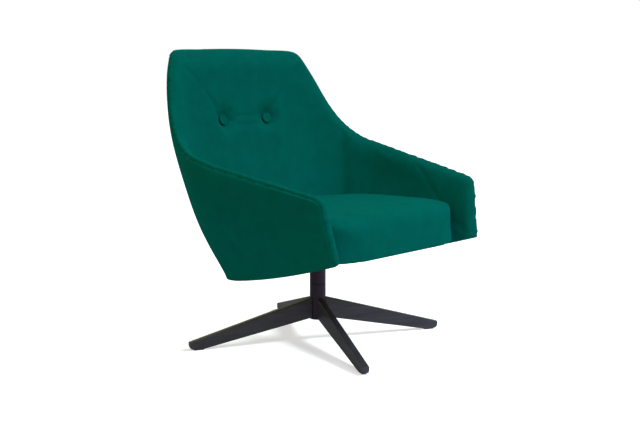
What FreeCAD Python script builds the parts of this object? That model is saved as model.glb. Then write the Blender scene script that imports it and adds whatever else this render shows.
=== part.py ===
"""Swivel armchair: upholstered wrap-around shell on a turning column and four wooden legs.

Millimetres, +Z up, the chair faces -Y. The origin is where the swivel axis meets the floor.
Left and right are the sitter's, so the left side is +X.
"""
import FreeCAD, Part
import Sketcher
import math
import os
from FreeCAD import Placement, Rotation, Vector

os.makedirs("parts", exist_ok=True)
doc = FreeCAD.newDocument("swivel_armchair")

# Driving dimensions
SIZES = {
    # base
    "column_radius": 22.5,
    "column_wall": 5.0,
    "column_foot": 61.5,
    "joint_height": 160.0,
    "leg_reach": 369.5,
    "leg_width": 19.0,
    "leg_tip_top": 22.0,
    "leg_foot_length": 42.0,
    "leg_root_low": 64.0,
    "leg_root_high": 122.0,
    "leg_edge_round": 3.0,
    "leg_heel_round": 11.0,
    "leg_turn": -27.5,
    "glide_thickness": 2.5,
    "glide_length": 28.0,
    "glide_width": 13.0,
    "cap_flange": 1.5,
    "cap_plug": 6.0,
    # swivel
    "spindle_radius": 12.5,
    "bush_length": 13.0,
    "lower_bush_foot": 123.0,
    "washer_thickness": 1.4,
    "ring_thickness": 1.5,
    "ring_groove": 1.2,
    "ring_width": 3.5,
    "spindle_tail": 3.0,
    "washer_inset": 1.0,
    "running_clearance": 0.05,
    "axial_clearance": 0.2,
    # fasteners
    "bolt_radius": 4.0,
    "bolt_clearance": 0.05,
    "bolt_length": 38.0,
    "bolt_low": 79.0,
    "bolt_high": 99.0,
    "nut_flat": 6.5,
    "nut_height": 6.5,
    "nut_setback": 2.0,
    "bolt_head_radius": 7.0,
    "bolt_head": 4.0,
    "tee_radius": 9.0,
    "tee_wall": 1.5,
    "tee_length": 10.0,
    "tee_depth": 2.0,
    "screw_radius": 2.25,
    "screw_head_radius": 4.5,
    "screw_head": 3.0,
    "screw_length": 36.0,
    "screw_sink": 1.1,
    "panel_screw_sink": 2.0,
    # seat support
    "plate_top": 232.0,
    "plate_thickness": 6.0,
    "plate_width": 180.0,
    "plate_depth": 90.0,
    "plate_corner": 12.0,
    "plate_bolt_x": 70.0,
    "plate_bolt_y": 30.0,
    "wedge_width": 50.0,
    "seat_slope": 0.2254,
    "board_thickness": 15.0,
    "board_underside": 254.0,
    "board_front": -252.0,
    "board_rear": 128.0,
    "board_half_width": 250.0,
    "rail_height": 30.0,
    "rail_width": 24.0,
    "rear_rail_width": 32.0,
    "side_rail_inner": 219.0,
    "board_chamfer": 73.0,
    # shell outline, at six levels
    "level_1": 190.0,
    "level_2": 315.0,
    "level_3": 440.0,
    "level_4": 565.0,
    "level_5": 690.0,
    "level_6": 820.0,
    "back_top": 385.0,
    "back_run": 237.0,
    "back_power": 2.19,
    "back_curve_top": 830.0,
    "back_curve_span": 640.0,
    "back_radius": 717.0,
    "side_1": 267.0,
    "side_2": 311.0,
    "side_3": 360.0,
    "side_4": 356.0,
    "side_5": 325.0,
    "side_6": 328.0,
    "corner_1": 51.0,
    "corner_2": 140.0,
    "corner_3": 250.0,
    "corner_4": 236.0,
    "corner_5": 162.0,
    "corner_6": 152.0,
    "arm_front_low": 288.0,
    "arm_front_high": 321.0,
    "arm_front_span": 310.0,
    "arm_front_depth": 330.0,
    "fan_centre": 120.0,
    "seam_angle": 45.0,
    # shell edges
    "hem_rear": 190.0,
    "hem_rise": 104.0,
    "hem_start": 140.0,
    "hem_turn": 40.0,
    "hem_tail": 14.0,
    "hem_power": 1.45,
    "arm_toe": -334.0,
    "arm_tip": -303.0,
    "arm_tip_height": 455.0,
    "arm_top": 511.5,
    "arm_corner": 30.0,
    "crown": 812.0,
    "crown_drop": 2.5,
    "edge_18": 528.0,
    "edge_33": 549.0,
    "edge_45": 592.0,
    "edge_54": 653.0,
    "edge_62": 734.0,
    "edge_67": 780.0,
    "wing_corner_drop": 11.0,
    # shell layers
    "cover_thickness": 6.0,
    "panel_thickness": 8.0,
    "panel_setback": 8.0,
    "arm_thickness": 36.0,
    "front_nose": 3.0,
    "back_thickness": 68.0,
    "edge_round": 20.0,
    "edge_wrap": 8.0,
    "layer_gap": 0.3,
    # cushion
    "cushion_front": -317.0,
    "cushion_rear": 111.0,
    "cushion_foot": 284.0,
    "cushion_front_lean": 0.12,
    "cushion_rear_lean": 0.8,
    "cushion_side_height": 380.0,
    "cushion_crown": 18.0,
    "cushion_rear_fall": 20.0,
    "cushion_round": 45.0,
    "cushion_corner": 105.0,
    "cushion_corner_depth": 96.0,
    "cushion_bow": 150.0,
    "cushion_bow_depth": 40.0,
    "cushion_shoulder": 24.0,
    "cushion_gap": 3.3,
    # front border
    "border_thickness": 8.0,
    "border_flap": 75.0,
    "flap_thickness": 1.5,
    # buttons
    "button_x": 85.5,
    "button_z": 612.0,
    "button_radius": 15.0,
    "button_height": 7.0,
    "button_rim": 2.5,
    "dimple_depth": 9.0,
    "dimple_radius": 34.0,
    "tie_radius": 1.5,
    "toggle_radius": 12.0,
    "toggle_thickness": 2.5,
    "button_sink": 8.2,
    # underside
    "cloth_thickness": 1.5,
    "cloth_half_width": 254.0,
    "cloth_opening": 4.0,
}

sheet = doc.addObject("Spreadsheet::Sheet", "sizes")
for row, (alias, value) in enumerate(SIZES.items(), start=1):
    sheet.set(f"A{row}", alias)
    sheet.set(f"B{row}", str(value))
    sheet.setAlias(f"B{row}", alias)
doc.recompute()


def size(alias):
    """Value of one cell of the sheet."""
    return float(sheet.get(alias))


SUB_PARTS = []


def keep(obj, label, placement=Placement()):
    """Name a finished sub-part, place it and list it for writing."""
    obj.Label = label
    obj.Placement = placement
    SUB_PARTS.append(obj)
    return obj


def feature(label, shape):
    """Sub-part whose shape is made by the shape functions below."""
    obj = doc.addObject("Part::Feature", label)
    obj.Shape = shape
    return keep(obj, label, obj.Placement)


# Sketches and bodies
def origin_plane(body, role):
    """Origin plane of a body, by its role."""
    return next(part for part in body.Origin.OriginFeatures if part.Role == role)


def polygon_sketch(body, role, corners, name):
    """Closed polygon whose corners are pairs of expressions; "0" lies on the axis."""
    sketch = body.newObject("Sketcher::SketchObject", name)
    sketch.AttachmentSupport = [(origin_plane(body, role), "")]
    sketch.MapMode = "FlatFace"
    count = len(corners)
    turn = 2 * math.pi / count
    seeds = [Vector(50 * math.cos(turn * i), 50 * math.sin(turn * i), 0) for i in range(count)]
    for i in range(count):
        sketch.addGeometry(Part.LineSegment(seeds[i], seeds[(i + 1) % count]), False)
    for i in range(count):
        sketch.addConstraint(Sketcher.Constraint("Coincident", i, 2, (i + 1) % count, 1))
    for i, (across, along) in enumerate(corners):
        for kind, axis, expression in (("DistanceX", -2, across), ("DistanceY", -1, along)):
            if expression == "0":
                sketch.addConstraint(Sketcher.Constraint("PointOnObject", i, 1, axis))
            else:
                index = sketch.addConstraint(Sketcher.Constraint(kind, -1, 1, i, 1, 1.0))
                sketch.setExpression(f"Constraints[{index}]", expression)
    doc.recompute()
    return sketch


def circle_sketch(body, role, centres, radius, name):
    """Circles of one radius at centres given as pairs of expressions."""
    sketch = body.newObject("Sketcher::SketchObject", name)
    sketch.AttachmentSupport = [(origin_plane(body, role), "")]
    sketch.MapMode = "FlatFace"
    for i, (across, along) in enumerate(centres):
        sketch.addGeometry(Part.Circle(Vector(9 * i + 5, 7, 0), Vector(0, 0, 1), 2), False)
        index = sketch.addConstraint(Sketcher.Constraint("Radius", i, 2.0))
        sketch.setExpression(f"Constraints[{index}]", radius)
        for kind, axis, expression in (("DistanceX", -2, across), ("DistanceY", -1, along)):
            if expression == "0":
                sketch.addConstraint(Sketcher.Constraint("PointOnObject", i, 3, axis))
            else:
                index = sketch.addConstraint(Sketcher.Constraint(kind, -1, 1, i, 3, 1.0))
                sketch.setExpression(f"Constraints[{index}]", expression)
    doc.recompute()
    return sketch


def turned_body(label, corners):
    """Body of revolution about Z from corners (radius, height)."""
    body = doc.addObject("PartDesign::Body", label)
    sketch = polygon_sketch(body, "XZ_Plane", corners, label + "_profile")
    turned = body.newObject("PartDesign::Revolution", label + "_turned")
    turned.Profile = sketch
    turned.ReferenceAxis = (sketch, ["V_Axis"])
    turned.Angle = 360
    doc.recompute()
    return body


def ring_corners(inner, outer, low, high):
    """Corners of a plain ring's section."""
    return [(inner, low), (outer, low), (outer, high), (inner, high)]


def bore_body(body, role, centres, radius, name):
    """Through holes in a body, both ways from an origin plane."""
    before = body.Shape.Volume
    sketch = circle_sketch(body, role, centres, radius, name + "_centres")
    pocket = body.newObject("PartDesign::Pocket", name)
    pocket.Profile = sketch
    pocket.Type = "ThroughAll"
    pocket.Midplane = True
    doc.recompute()
    if body.Shape.Volume >= before:
        raise RuntimeError(name + " cuts nothing")
    return pocket


# Base: glides, legs, lower column
def leg_body(label):
    """Tapered leg on edge, along +X from the column, coped to it and rounded."""
    body = doc.addObject("PartDesign::Body", label)
    root = "sizes.column_radius - sizes.leg_edge_round"
    profile = polygon_sketch(body, "XZ_Plane", [
        (root, "sizes.leg_root_low"),
        ("sizes.leg_reach - sizes.leg_foot_length", "sizes.glide_thickness"),
        ("sizes.leg_reach", "sizes.glide_thickness"),
        ("sizes.leg_reach", "sizes.leg_tip_top"),
        (root, "sizes.leg_root_high"),
    ], label + "_side")
    pad = body.newObject("PartDesign::Pad", label + "_board")
    pad.Profile = profile
    pad.Midplane = True
    pad.setExpression("Length", "sizes.leg_width")
    doc.recompute()
    bore_body(body, "XY_Plane", [("0", "0")], "sizes.column_radius + sizes.bolt_clearance",
              label + "_cope")
    holes = [("0", "sizes.bolt_low"), ("0", "sizes.bolt_high")]
    drill = circle_sketch(body, "YZ_Plane", holes, "sizes.bolt_radius + sizes.bolt_clearance",
                          label + "_pilots")
    pocket = body.newObject("PartDesign::Pocket", label + "_drilled")
    pocket.Profile = drill
    pocket.Reversed = True
    pocket.setExpression("Length", "sizes.bolt_length + sizes.column_radius")
    before = body.Shape.Volume
    doc.recompute()
    if body.Shape.Volume >= before:
        raise RuntimeError(label + " pilots cut nothing")
    heel = [name for name, edge in edges_of(body.Shape)
            if upright_edge(edge, "y") and abs(edge.CenterOfMass.x - size("leg_reach")) < 0.1
            and edge.CenterOfMass.z < size("leg_tip_top") - 1]
    add_fillet(body, heel, "sizes.leg_heel_round", label + "_heel")
    arris = [name for name, edge in edges_of(body.Shape) if long_arris(edge)]
    add_fillet(body, arris, "sizes.leg_edge_round", label + "_arris")
    return body


def edges_of(shape):
    """Names and edges of a shape."""
    return [(f"Edge{i}", edge) for i, edge in enumerate(shape.Edges, start=1)]


def upright_edge(edge, axis):
    """True for a straight edge along one axis."""
    box = edge.BoundBox
    spans = {"x": box.XLength, "y": box.YLength, "z": box.ZLength}
    return spans[axis] > 1 and all(span < 0.01 for name, span in spans.items() if name != axis)


def long_arris(edge):
    """True for the leg's long upper and lower corners and its tip corners."""
    box = edge.BoundBox
    on_side = abs(abs(edge.CenterOfMass.y) - size("leg_width") / 2) < 0.01 and box.YLength < 0.01
    return on_side and (box.XLength > 60 or box.XMin > size("leg_reach") - 60)


def add_fillet(body, names, radius, label):
    """Fillet named edges of the body's tip."""
    fillet = body.newObject("PartDesign::Fillet", label)
    fillet.Base = (body.Tip if body.Tip != fillet else fillet.BaseFeature, names)
    fillet.setExpression("Radius", radius)
    doc.recompute()
    return fillet


LEGS = {"front_left": 0, "rear_left": 1, "rear_right": 2, "front_right": 3}


def quarter(index):
    """Placement of the leg at a quarter turn from the first."""
    return Placement(Vector(), Rotation(Vector(0, 0, 1), size("leg_turn") + 90 * index))


for place, index in LEGS.items():
    keep(leg_body("leg_" + place), "leg_" + place, quarter(index))

for place, index in LEGS.items():
    glide = doc.addObject("Part::Box", "glide_" + place)
    glide.setExpression("Length", "sizes.glide_length")
    glide.setExpression("Width", "sizes.glide_width")
    glide.setExpression("Height", "sizes.glide_thickness")
    doc.recompute()
    start = size("leg_reach") - (size("leg_foot_length") + size("leg_heel_round")
                                 + size("glide_length")) / 2
    seat = Placement(Vector(start, -size("glide_width") / 2, 0), Rotation())
    keep(glide, "glide_" + place, quarter(index).multiply(seat))

BORE = "(sizes.column_radius - sizes.column_wall)"
hub_tube = turned_body("hub_tube", ring_corners(
    BORE, "sizes.column_radius", "sizes.column_foot", "sizes.joint_height"))
LEVELS = ("sizes.bolt_low", "sizes.bolt_high")
for role in ("XZ_Plane", "YZ_Plane"):
    bore_body(hub_tube, role, [("0", level) for level in LEVELS],
              "sizes.bolt_radius + sizes.bolt_clearance", "hub_holes_" + role[:2])
keep(hub_tube, "hub_tube", quarter(0))

keep(turned_body("hub_end_cap", [
    ("0", "sizes.column_foot - sizes.cap_flange"),
    ("sizes.column_radius", "sizes.column_foot - sizes.cap_flange"),
    ("sizes.column_radius", "sizes.column_foot"),
    (BORE + " - sizes.running_clearance", "sizes.column_foot"),
    (BORE + " - sizes.running_clearance", "sizes.column_foot + sizes.cap_plug"),
    ("0", "sizes.column_foot + sizes.cap_plug"),
]), "hub_end_cap")


def at_legs(shape):
    """The shape, made for a leg along +X at height 0, at both levels of all four legs."""
    copies = []
    for index in LEGS.values():
        for level in (size("bolt_low"), size("bolt_high")):
            copy = shape.copy()
            spot = Placement(Vector(0, 0, level), Rotation())
            copy.Placement = quarter(index).multiply(spot).multiply(shape.Placement)
            copies.append(copy)
    return Part.makeCompound(copies)


nut_face = size("column_radius") - size("column_wall") - size("nut_setback")
nut_inner = nut_face - size("nut_height")
bolt_end = size("column_radius") + size("bolt_length") - size("nut_setback")
hanger_bolt = Part.makeCylinder(size("bolt_radius"), bolt_end - nut_inner, Vector(nut_inner, 0, 0),
                                Vector(1, 0, 0))
feature("leg_bolts", at_legs(hanger_bolt))


def hexagon_prism(flat, height):
    """Hexagonal prism along +X from the origin, `flat` from centre to flat."""
    corner = flat / math.cos(math.pi / 6)
    ring = [Vector(0, corner * math.cos(math.pi / 3 * i), corner * math.sin(math.pi / 3 * i))
            for i in range(7)]
    return Part.Face(Part.makePolygon(ring)).extrude(Vector(height, 0, 0))


nut = hexagon_prism(size("nut_flat"), size("nut_height"))
nut = nut.cut(Part.makeCylinder(size("bolt_radius") + size("bolt_clearance"), size("nut_height"),
                                Vector(), Vector(1, 0, 0)))
nut.translate(Vector(nut_inner, 0, 0))
feature("leg_nuts", at_legs(nut))

# Swivel: bushes, washer, spindle, upper column
BUSH_BORE = "sizes.spindle_radius + sizes.running_clearance"
UPPER_FOOT = "sizes.joint_height - sizes.bush_length"
LOWER_TOP = "sizes.lower_bush_foot + sizes.bush_length"
keep(turned_body("lower_bush", ring_corners(
    BUSH_BORE, BORE, "sizes.lower_bush_foot", LOWER_TOP)), "lower_bush")
keep(turned_body("upper_bush", ring_corners(
    BUSH_BORE, BORE, UPPER_FOOT, "sizes.joint_height")), "upper_bush")
keep(turned_body("thrust_washer", ring_corners(
    BUSH_BORE, "sizes.column_radius - sizes.washer_inset", "sizes.joint_height",
    "sizes.joint_height + sizes.washer_thickness")), "thrust_washer")

COLUMN_LOW = "(sizes.joint_height + sizes.washer_thickness + sizes.axial_clearance)"
RING_TOP = "(sizes.lower_bush_foot - sizes.axial_clearance)"
RING_LOW = "(" + RING_TOP + " - sizes.ring_thickness)"
GROOVE = "sizes.spindle_radius - sizes.ring_groove"
keep(turned_body("spindle", [
    ("0", RING_LOW + " - sizes.spindle_tail"),
    ("sizes.spindle_radius", RING_LOW + " - sizes.spindle_tail"),
    ("sizes.spindle_radius", RING_LOW),
    (GROOVE, RING_LOW),
    (GROOVE, RING_TOP),
    ("sizes.spindle_radius", RING_TOP),
    ("sizes.spindle_radius", "sizes.plate_top"),
    ("0", "sizes.plate_top"),
]), "spindle")
keep(turned_body("retaining_ring", ring_corners(
    GROOVE, GROOVE + " + sizes.ring_width", RING_LOW, RING_TOP)),
    "retaining_ring")
keep(turned_body("swivel_column", ring_corners(
    "sizes.spindle_radius", "sizes.column_radius", COLUMN_LOW,
    "sizes.plate_top - sizes.plate_thickness")), "swivel_column")

# Mounting plate, bolts, wedge blocks
mounting_plate = doc.addObject("PartDesign::Body", "mounting_plate")
HALF_X, HALF_Y = "sizes.plate_width / 2", "sizes.plate_depth / 2"
outline = polygon_sketch(mounting_plate, "XY_Plane", [
    ("-" + HALF_X, "-" + HALF_Y), (HALF_X, "-" + HALF_Y), (HALF_X, HALF_Y), ("-" + HALF_X, HALF_Y),
], "plate_outline")
plate = mounting_plate.newObject("PartDesign::Pad", "plate_blank")
plate.Profile = outline
plate.setExpression("Length", "sizes.plate_thickness")
doc.recompute()
BOLT_PLACES = [(across + "sizes.plate_bolt_x", along + "sizes.plate_bolt_y")
               for across in ("", "-") for along in ("", "-")]
bore_body(mounting_plate, "XY_Plane", BOLT_PLACES, "sizes.bolt_radius + sizes.bolt_clearance",
          "plate_holes")
bore_body(mounting_plate, "XY_Plane", [("0", "0")], "sizes.spindle_radius", "plate_bore")
add_fillet(mounting_plate, [name for name, edge in edges_of(mounting_plate.Shape)
                            if upright_edge(edge, "z")
                            and abs(edge.CenterOfMass.x) > size("plate_width") / 2 - 0.1],
           "sizes.plate_corner", "plate_corners")
keep(mounting_plate, "mounting_plate",
     Placement(Vector(0, 0, size("plate_top") - size("plate_thickness")), Rotation()))


def board_low(y):
    """Height of the seat board's underside at a depth."""
    return size("board_underside") - size("seat_slope") * y


def slab(y_front, y_rear, half_width, low, high, x_inner=None):
    """Block between two sloping planes, low and high above the board's underside plane."""
    corners = [Vector(0, y_front, board_low(y_front) + low), Vector(0, y_rear, board_low(y_rear) + low),
               Vector(0, y_rear, board_low(y_rear) + high), Vector(0, y_front, board_low(y_front) + high)]
    start = -half_width if x_inner is None else x_inner
    face = Part.Face(Part.makePolygon(corners + corners[:1]))
    face.translate(Vector(start, 0, 0))
    return face.extrude(Vector(half_width - start, 0, 0))


def wedge_block():
    """Block with a flat foot on the plate and a sloping top under the board."""
    half_depth = size("plate_depth") / 2
    half_width = size("wedge_width") / 2
    corners = [Vector(0, -half_depth, size("plate_top")), Vector(0, half_depth, size("plate_top")),
               Vector(0, half_depth, board_low(half_depth)), Vector(0, -half_depth, board_low(-half_depth))]
    face = Part.Face(Part.makePolygon(corners + corners[:1]))
    face.translate(Vector(size("plate_bolt_x") - half_width, 0, 0))
    return face.extrude(Vector(2 * half_width, 0, 0))


def upright_rod(radius, x, y, low, high):
    """Upright cylinder."""
    return Part.makeCylinder(radius, high - low, Vector(x, y, low))


def mirrored(shape):
    """The shape on the other side of the chair."""
    return shape.mirror(Vector(), Vector(1, 0, 0))


board_high = size("board_thickness") * math.hypot(1, size("seat_slope"))
bolt_hole = size("bolt_radius") + size("bolt_clearance")
PLATE_BOLTS = [(across * size("plate_bolt_x"), along * size("plate_bolt_y"))
               for across in (1, -1) for along in (1, -1)]


def cut_holes(shape, radius, places, low, high):
    """The shape with upright holes."""
    for x, y in places:
        shape = shape.cut(upright_rod(radius, x, y, low, high))
    return shape


def board_top(y):
    """Height of the seat board's top at a depth."""
    return board_low(y) + board_high


def plate_bolt(x, y):
    """Button-headed bolt from under the plate up through the wedge block into the board."""
    foot = size("plate_top") - size("plate_thickness")
    top = board_top(y) - size("tee_wall") - size("tee_depth")
    head = upright_rod(size("bolt_head_radius"), x, y, foot - size("bolt_head"), foot)
    return head.fuse(upright_rod(size("bolt_radius"), x, y, foot, top)).removeSplitter()


def tee_nut(x, y):
    """Tee nut set into the board's top, its barrel round the bolt."""
    top = board_top(y) - size("tee_depth")
    barrel = upright_rod(size("bolt_radius") + size("tee_wall"), x, y, top - size("tee_length"), top)
    flange = upright_rod(size("tee_radius"), x, y, top - size("tee_wall"), top)
    shell = barrel.fuse(flange).removeSplitter()
    return shell.cut(upright_rod(bolt_hole, x, y, top - 2 * size("tee_length"), top + 1))


feature("plate_bolts", Part.makeCompound([plate_bolt(x, y) for x, y in PLATE_BOLTS]))
feature("tee_nuts", Part.makeCompound([tee_nut(x, y) for x, y in PLATE_BOLTS]))
wedge = cut_holes(wedge_block(), bolt_hole, PLATE_BOLTS, size("plate_top") - 1,
                  board_low(-size("plate_depth")))
feature("wedge_block_left", wedge)
feature("wedge_block_right", mirrored(wedge))


# Shell outline at a height
LEVELS_OF_SIDE = [size(f"level_{i}") for i in range(1, 7)]
FAN_CENTRE = size("fan_centre")
SEAM_ANGLE = int(size("seam_angle"))
TOE_HEIGHT = size("hem_rear") + size("hem_rise")


def through_levels(stem, z):
    """Smooth curve through the six level values of one size."""
    total = 0.0
    for i, zi in enumerate(LEVELS_OF_SIDE):
        weight = size(f"{stem}_{i + 1}")
        for j, zj in enumerate(LEVELS_OF_SIDE):
            if j != i:
                weight *= (z - zj) / (zi - zj)
        total += weight
    return total


def smooth_edge(points):
    """Smooth edge through points at even parameters."""
    spline = Part.BSplineCurve()
    spline.interpolate(Points=points, Parameters=[i / (len(points) - 1) for i in range(len(points))])
    return spline.toShape()


class Outline:
    """Half outline of the shell at one height: back arc, corner arc and straight side."""

    def __init__(self, z):
        rise = max(size("back_curve_top") - z, 0.1) / size("back_curve_span")
        self.back = size("back_top") - size("back_run") * rise ** size("back_power")
        self.side = through_levels("side", z)
        share = min((z - LEVELS_OF_SIDE[0]) / size("arm_front_span"), 1.0)
        self.front = size("arm_front_low") + (size("arm_front_high") - size("arm_front_low")) * share
        self.corner = through_levels("corner", z)
        self.radius = size("back_radius")
        along = Vector(self.front - self.side, -size("arm_front_depth"), 0).normalize()
        self.normal = Vector(-along.y, along.x, 0)
        if self.normal.x < 0:
            self.normal = -self.normal
        self.back_centre = Vector(0, self.back - self.radius, 0)
        base = Vector(self.side, 0, 0) - self.normal * self.corner
        gap = base - self.back_centre
        half = gap.dot(-along)
        reach = -half + math.sqrt(half ** 2 - gap.dot(gap) + (self.radius - self.corner) ** 2)
        self.corner_centre = base - along * reach
        self.side_end = self.corner_centre + self.normal * self.corner
        away = (self.corner_centre - self.back_centre).normalize()
        self.back_end = self.corner_centre + away * self.corner

    def side_x(self, y):
        """Half width at a depth on the straight side."""
        return self.side + (self.side - self.front) * y / size("arm_front_depth")

    def along_ray(self, angle):
        """Distance from the fan centre to the outline at an angle from +X."""
        start = Vector(FAN_CENTRE, 0, 0)
        ray = Vector(math.cos(angle), math.sin(angle), 0)
        to_side = self.side_end - start
        to_back = self.back_end - start
        if ray.x * to_side.y - ray.y * to_side.x >= 0:
            return (Vector(self.side, 0, 0) - start).dot(self.normal) / ray.dot(self.normal)
        if ray.x * to_back.y - ray.y * to_back.x >= 0:
            return ray_to_circle(start, ray, self.corner_centre, self.corner)
        return ray_to_circle(start, ray, self.back_centre, self.radius)

    def back_y(self, x):
        """Depth of the outline behind a point across the back."""
        return ray_to_circle(Vector(x, 0, 0), Vector(0, 1, 0), self.back_centre, self.radius)


def ray_to_circle(start, ray, centre, radius):
    """Distance along a ray to the far side of a circle."""
    gap = start - centre
    half = gap.dot(ray)
    return -half + math.sqrt(half ** 2 - gap.dot(gap) + radius ** 2)


def hem(y):
    """Height of the shell's lower edge at a depth."""
    ahead = max(size("hem_start") - y, 0.0) / (size("hem_start") - size("arm_toe"))
    behind = min(max(y - size("hem_turn"), 0.0) / (size("hem_start") - size("hem_turn")), 1.0)
    return (size("hem_rear") + size("hem_rise") * ahead ** size("hem_power")
            + size("hem_tail") * behind ** 2)


class Station:
    """Upright section plane of the shell: a base point, a direction and the two edge heights."""

    def __init__(self, base, heading, top, thickness, fall, lean=0.0, toe=0.0):
        self.base = base
        self.heading = heading
        self.top = top
        self.thickness = thickness
        self.fall = fall
        self.lean = lean
        self.toe = toe
        low = size("hem_rear")
        for _ in range(8):
            low = hem(self.point(self.reach(low), low).y)
        self.low = low

    def depth(self, z):
        """Depth of a leaning station at a height."""
        return self.toe + self.lean * (z - TOE_HEIGHT) if self.heading.y == 0 else 0.0

    def reach(self, z):
        """Distance from the base to the shell's outer face at a height."""
        outline = Outline(z)
        if self.heading.y == 0:
            return outline.side_x(self.depth(z)) - self.base.x
        if self.heading.x == 0:
            return outline.back_y(self.base.x)
        return outline.along_ray(math.atan2(self.heading.y, self.heading.x))

    def point(self, reach, z):
        """Point of the section plane."""
        spot = self.base + self.heading * reach
        return Vector(spot.x, spot.y + self.depth(z), z)

    def frame(self, z):
        """Outer point in the plane with its upward tangent and inward normal."""
        step = 2.0
        slope = (self.reach(z + step) - self.reach(z - step)) / (2 * step)
        length = math.hypot(slope, 1.0)
        return self.reach(z), (slope / length, 1 / length), (-1 / length, slope / length)

    def face(self, inset, z):
        """Point at a height on the face that lies `inset` inside the outer one."""
        guess = min(max(z - self.frame(z)[2][1] * inset, self.low), self.top)
        reach, tangent, normal = self.frame(guess)
        slide = (z - guess - normal[1] * inset) / tangent[1]
        return self.point(reach + normal[0] * inset + tangent[0] * slide, z)

    def curve(self, inset, low, high):
        """Curve up one face, with its two ends."""
        points = [self.face(inset, low + (high - low) * step / 8) for step in range(9)]
        return smooth_edge(points), points[0], points[-1]


def bezier(points):
    """Bezier edge."""
    curve = Part.BezierCurve()
    curve.setPoles(points)
    return curve.toShape()


def layer_wire(station, outer, inner, low, top):
    """Closed section of a plain layer between two insets."""
    face_a, a_low, a_top = station.curve(outer, low, top)
    face_b, b_low, b_top = station.curve(inner, low, top)
    return Part.Wire([face_a, Part.makeLine(a_top, b_top), face_b, Part.makeLine(b_low, a_low)])


def pad_wire(station):
    """Closed section of the upholstery inside the cover, its crest rounded."""
    full = station.thickness
    behind = size("cover_thickness") + size("panel_thickness") + 2 * size("layer_gap")
    rounding = min(size("edge_round"), full - behind - 4)
    outer_face, outer_low, outer_top = station.curve(
        size("cover_thickness") + size("layer_gap"), station.low, station.top)
    inner_face, inner_low, inner_top = station.curve(full, station.low, station.top - station.fall)
    crest = station.face(max(full - rounding, behind + 2), station.top)
    across = station.face(full, station.top)
    corner = crest + (across - crest) * 0.6
    above = inner_top + (across - inner_top) * 0.6
    return Part.Wire([outer_face, Part.makeLine(outer_top, crest), bezier([crest, corner, above, inner_top]),
                      inner_face, Part.makeLine(inner_low, outer_low)])


def pocket_wire(station):
    """Section of the space that the upholstery leaves for the panel."""
    gap = size("layer_gap")
    behind = size("cover_thickness") + size("panel_thickness") + 2 * gap
    return layer_wire(station, size("cover_thickness") / 2, behind, station.low - 6,
                      station.top - size("edge_wrap") + gap)


def loft(wires):
    """Solid through closed sections."""
    shape = Part.makeLoft(wires, True, True)
    if shape.Volume < 0:
        shape.reverse()
    return shape


def eased(pairs, x):
    """Smooth curve through (x, value) pairs, flat beyond its ends."""
    if x <= pairs[0][0]:
        return pairs[0][1]
    for i in range(len(pairs) - 1):
        (x0, v0), (x1, v1) = pairs[i], pairs[i + 1]
        if x <= x1:
            before = pairs[max(i - 1, 0)]
            after = pairs[min(i + 2, len(pairs) - 1)]
            slope0 = (v1 - before[1]) / (x1 - before[0])
            slope1 = (after[1] - v0) / (after[0] - x0)
            share = (x - x0) / (x1 - x0)
            span = x1 - x0
            return ((1 + 2 * share) * (1 - share) ** 2 * v0 + share ** 2 * (3 - 2 * share) * v1
                    + span * share * (1 - share) ** 2 * slope0 + span * share ** 2 * (share - 1) * slope1)
    return pairs[-1][1]


def edge_height(angle):
    """Height of the shell's upper edge at an angle round the fan centre."""
    corner = size("crown") - size("wing_corner_drop")
    return eased([
        (0, size("arm_top")), (18, size("edge_18")), (33, size("edge_33")), (45, size("edge_45")),
        (54, size("edge_54")), (62, size("edge_62")), (67, size("edge_67")), (70, corner),
        (75, size("crown") - size("crown_drop") * 2), (90, size("crown") - size("crown_drop"))], angle)


def edge_fall(angle):
    """Height over which the inner edge is rounded, more where the edge climbs."""
    return size("edge_round") * eased([(0, 1.0), (30, 1.15), (45, 1.4), (52, 1.7), (64, 1.7), (70, 1.3),
                                       (76, 1.1), (90, 1.1)], angle)


def arm_station(behind):
    """Section of the arm at a distance behind its leaning front edge, up to the swivel axis."""
    round_ = size("edge_round")
    lean = (size("arm_tip") - size("arm_toe")) / (size("arm_tip_height") - TOE_HEIGHT)
    rise = (size("arm_top") - size("arm_tip_height")) / -size("arm_tip")
    stretch = math.hypot(1, lean)
    whole = -size("arm_toe") / stretch
    upright = max(behind - round_, 0.0) / (whole - round_)
    lean *= 1 - upright
    toe = size("arm_toe") * (1 - behind / whole)
    top = (size("arm_top") + rise * (toe - lean * TOE_HEIGHT)) / (1 - rise * lean)
    turn = math.atan2(1, lean) - math.atan(rise)
    radius = size("arm_corner")
    if behind < radius * (1 - math.cos(turn)):
        along = behind / math.tan(turn)
        arc = radius * math.sin(math.acos(1 - behind / radius)) - radius * math.tan(turn / 2)
        top -= (along - arc) / stretch
    swell = round_
    if behind < round_:
        swell = max(math.sqrt(round_ ** 2 - (round_ - behind) ** 2), size("front_nose"))
    thickness = size("arm_thickness") - round_ + swell
    return Station(Vector(), Vector(1, 0, 0), top, thickness, swell, lean, toe)


def fan_station(angle):
    """Section on a ray from the fan centre."""
    turn = math.radians(angle)
    share = max(angle - SEAM_ANGLE, 0.0) / (90 - SEAM_ANGLE)
    thickness = size("arm_thickness") + (size("back_thickness") - size("arm_thickness")) * share
    return Station(Vector(FAN_CENTRE, 0, 0), Vector(math.cos(turn), math.sin(turn), 0),
                   edge_height(angle), thickness, edge_fall(angle))


def back_station(x):
    """Section straight behind a point across the back."""
    top = size("crown") - size("crown_drop") * (x / FAN_CENTRE) ** 2
    return Station(Vector(x, 0, 0), Vector(0, 1, 0), top, size("back_thickness"), size("edge_round"))


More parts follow.
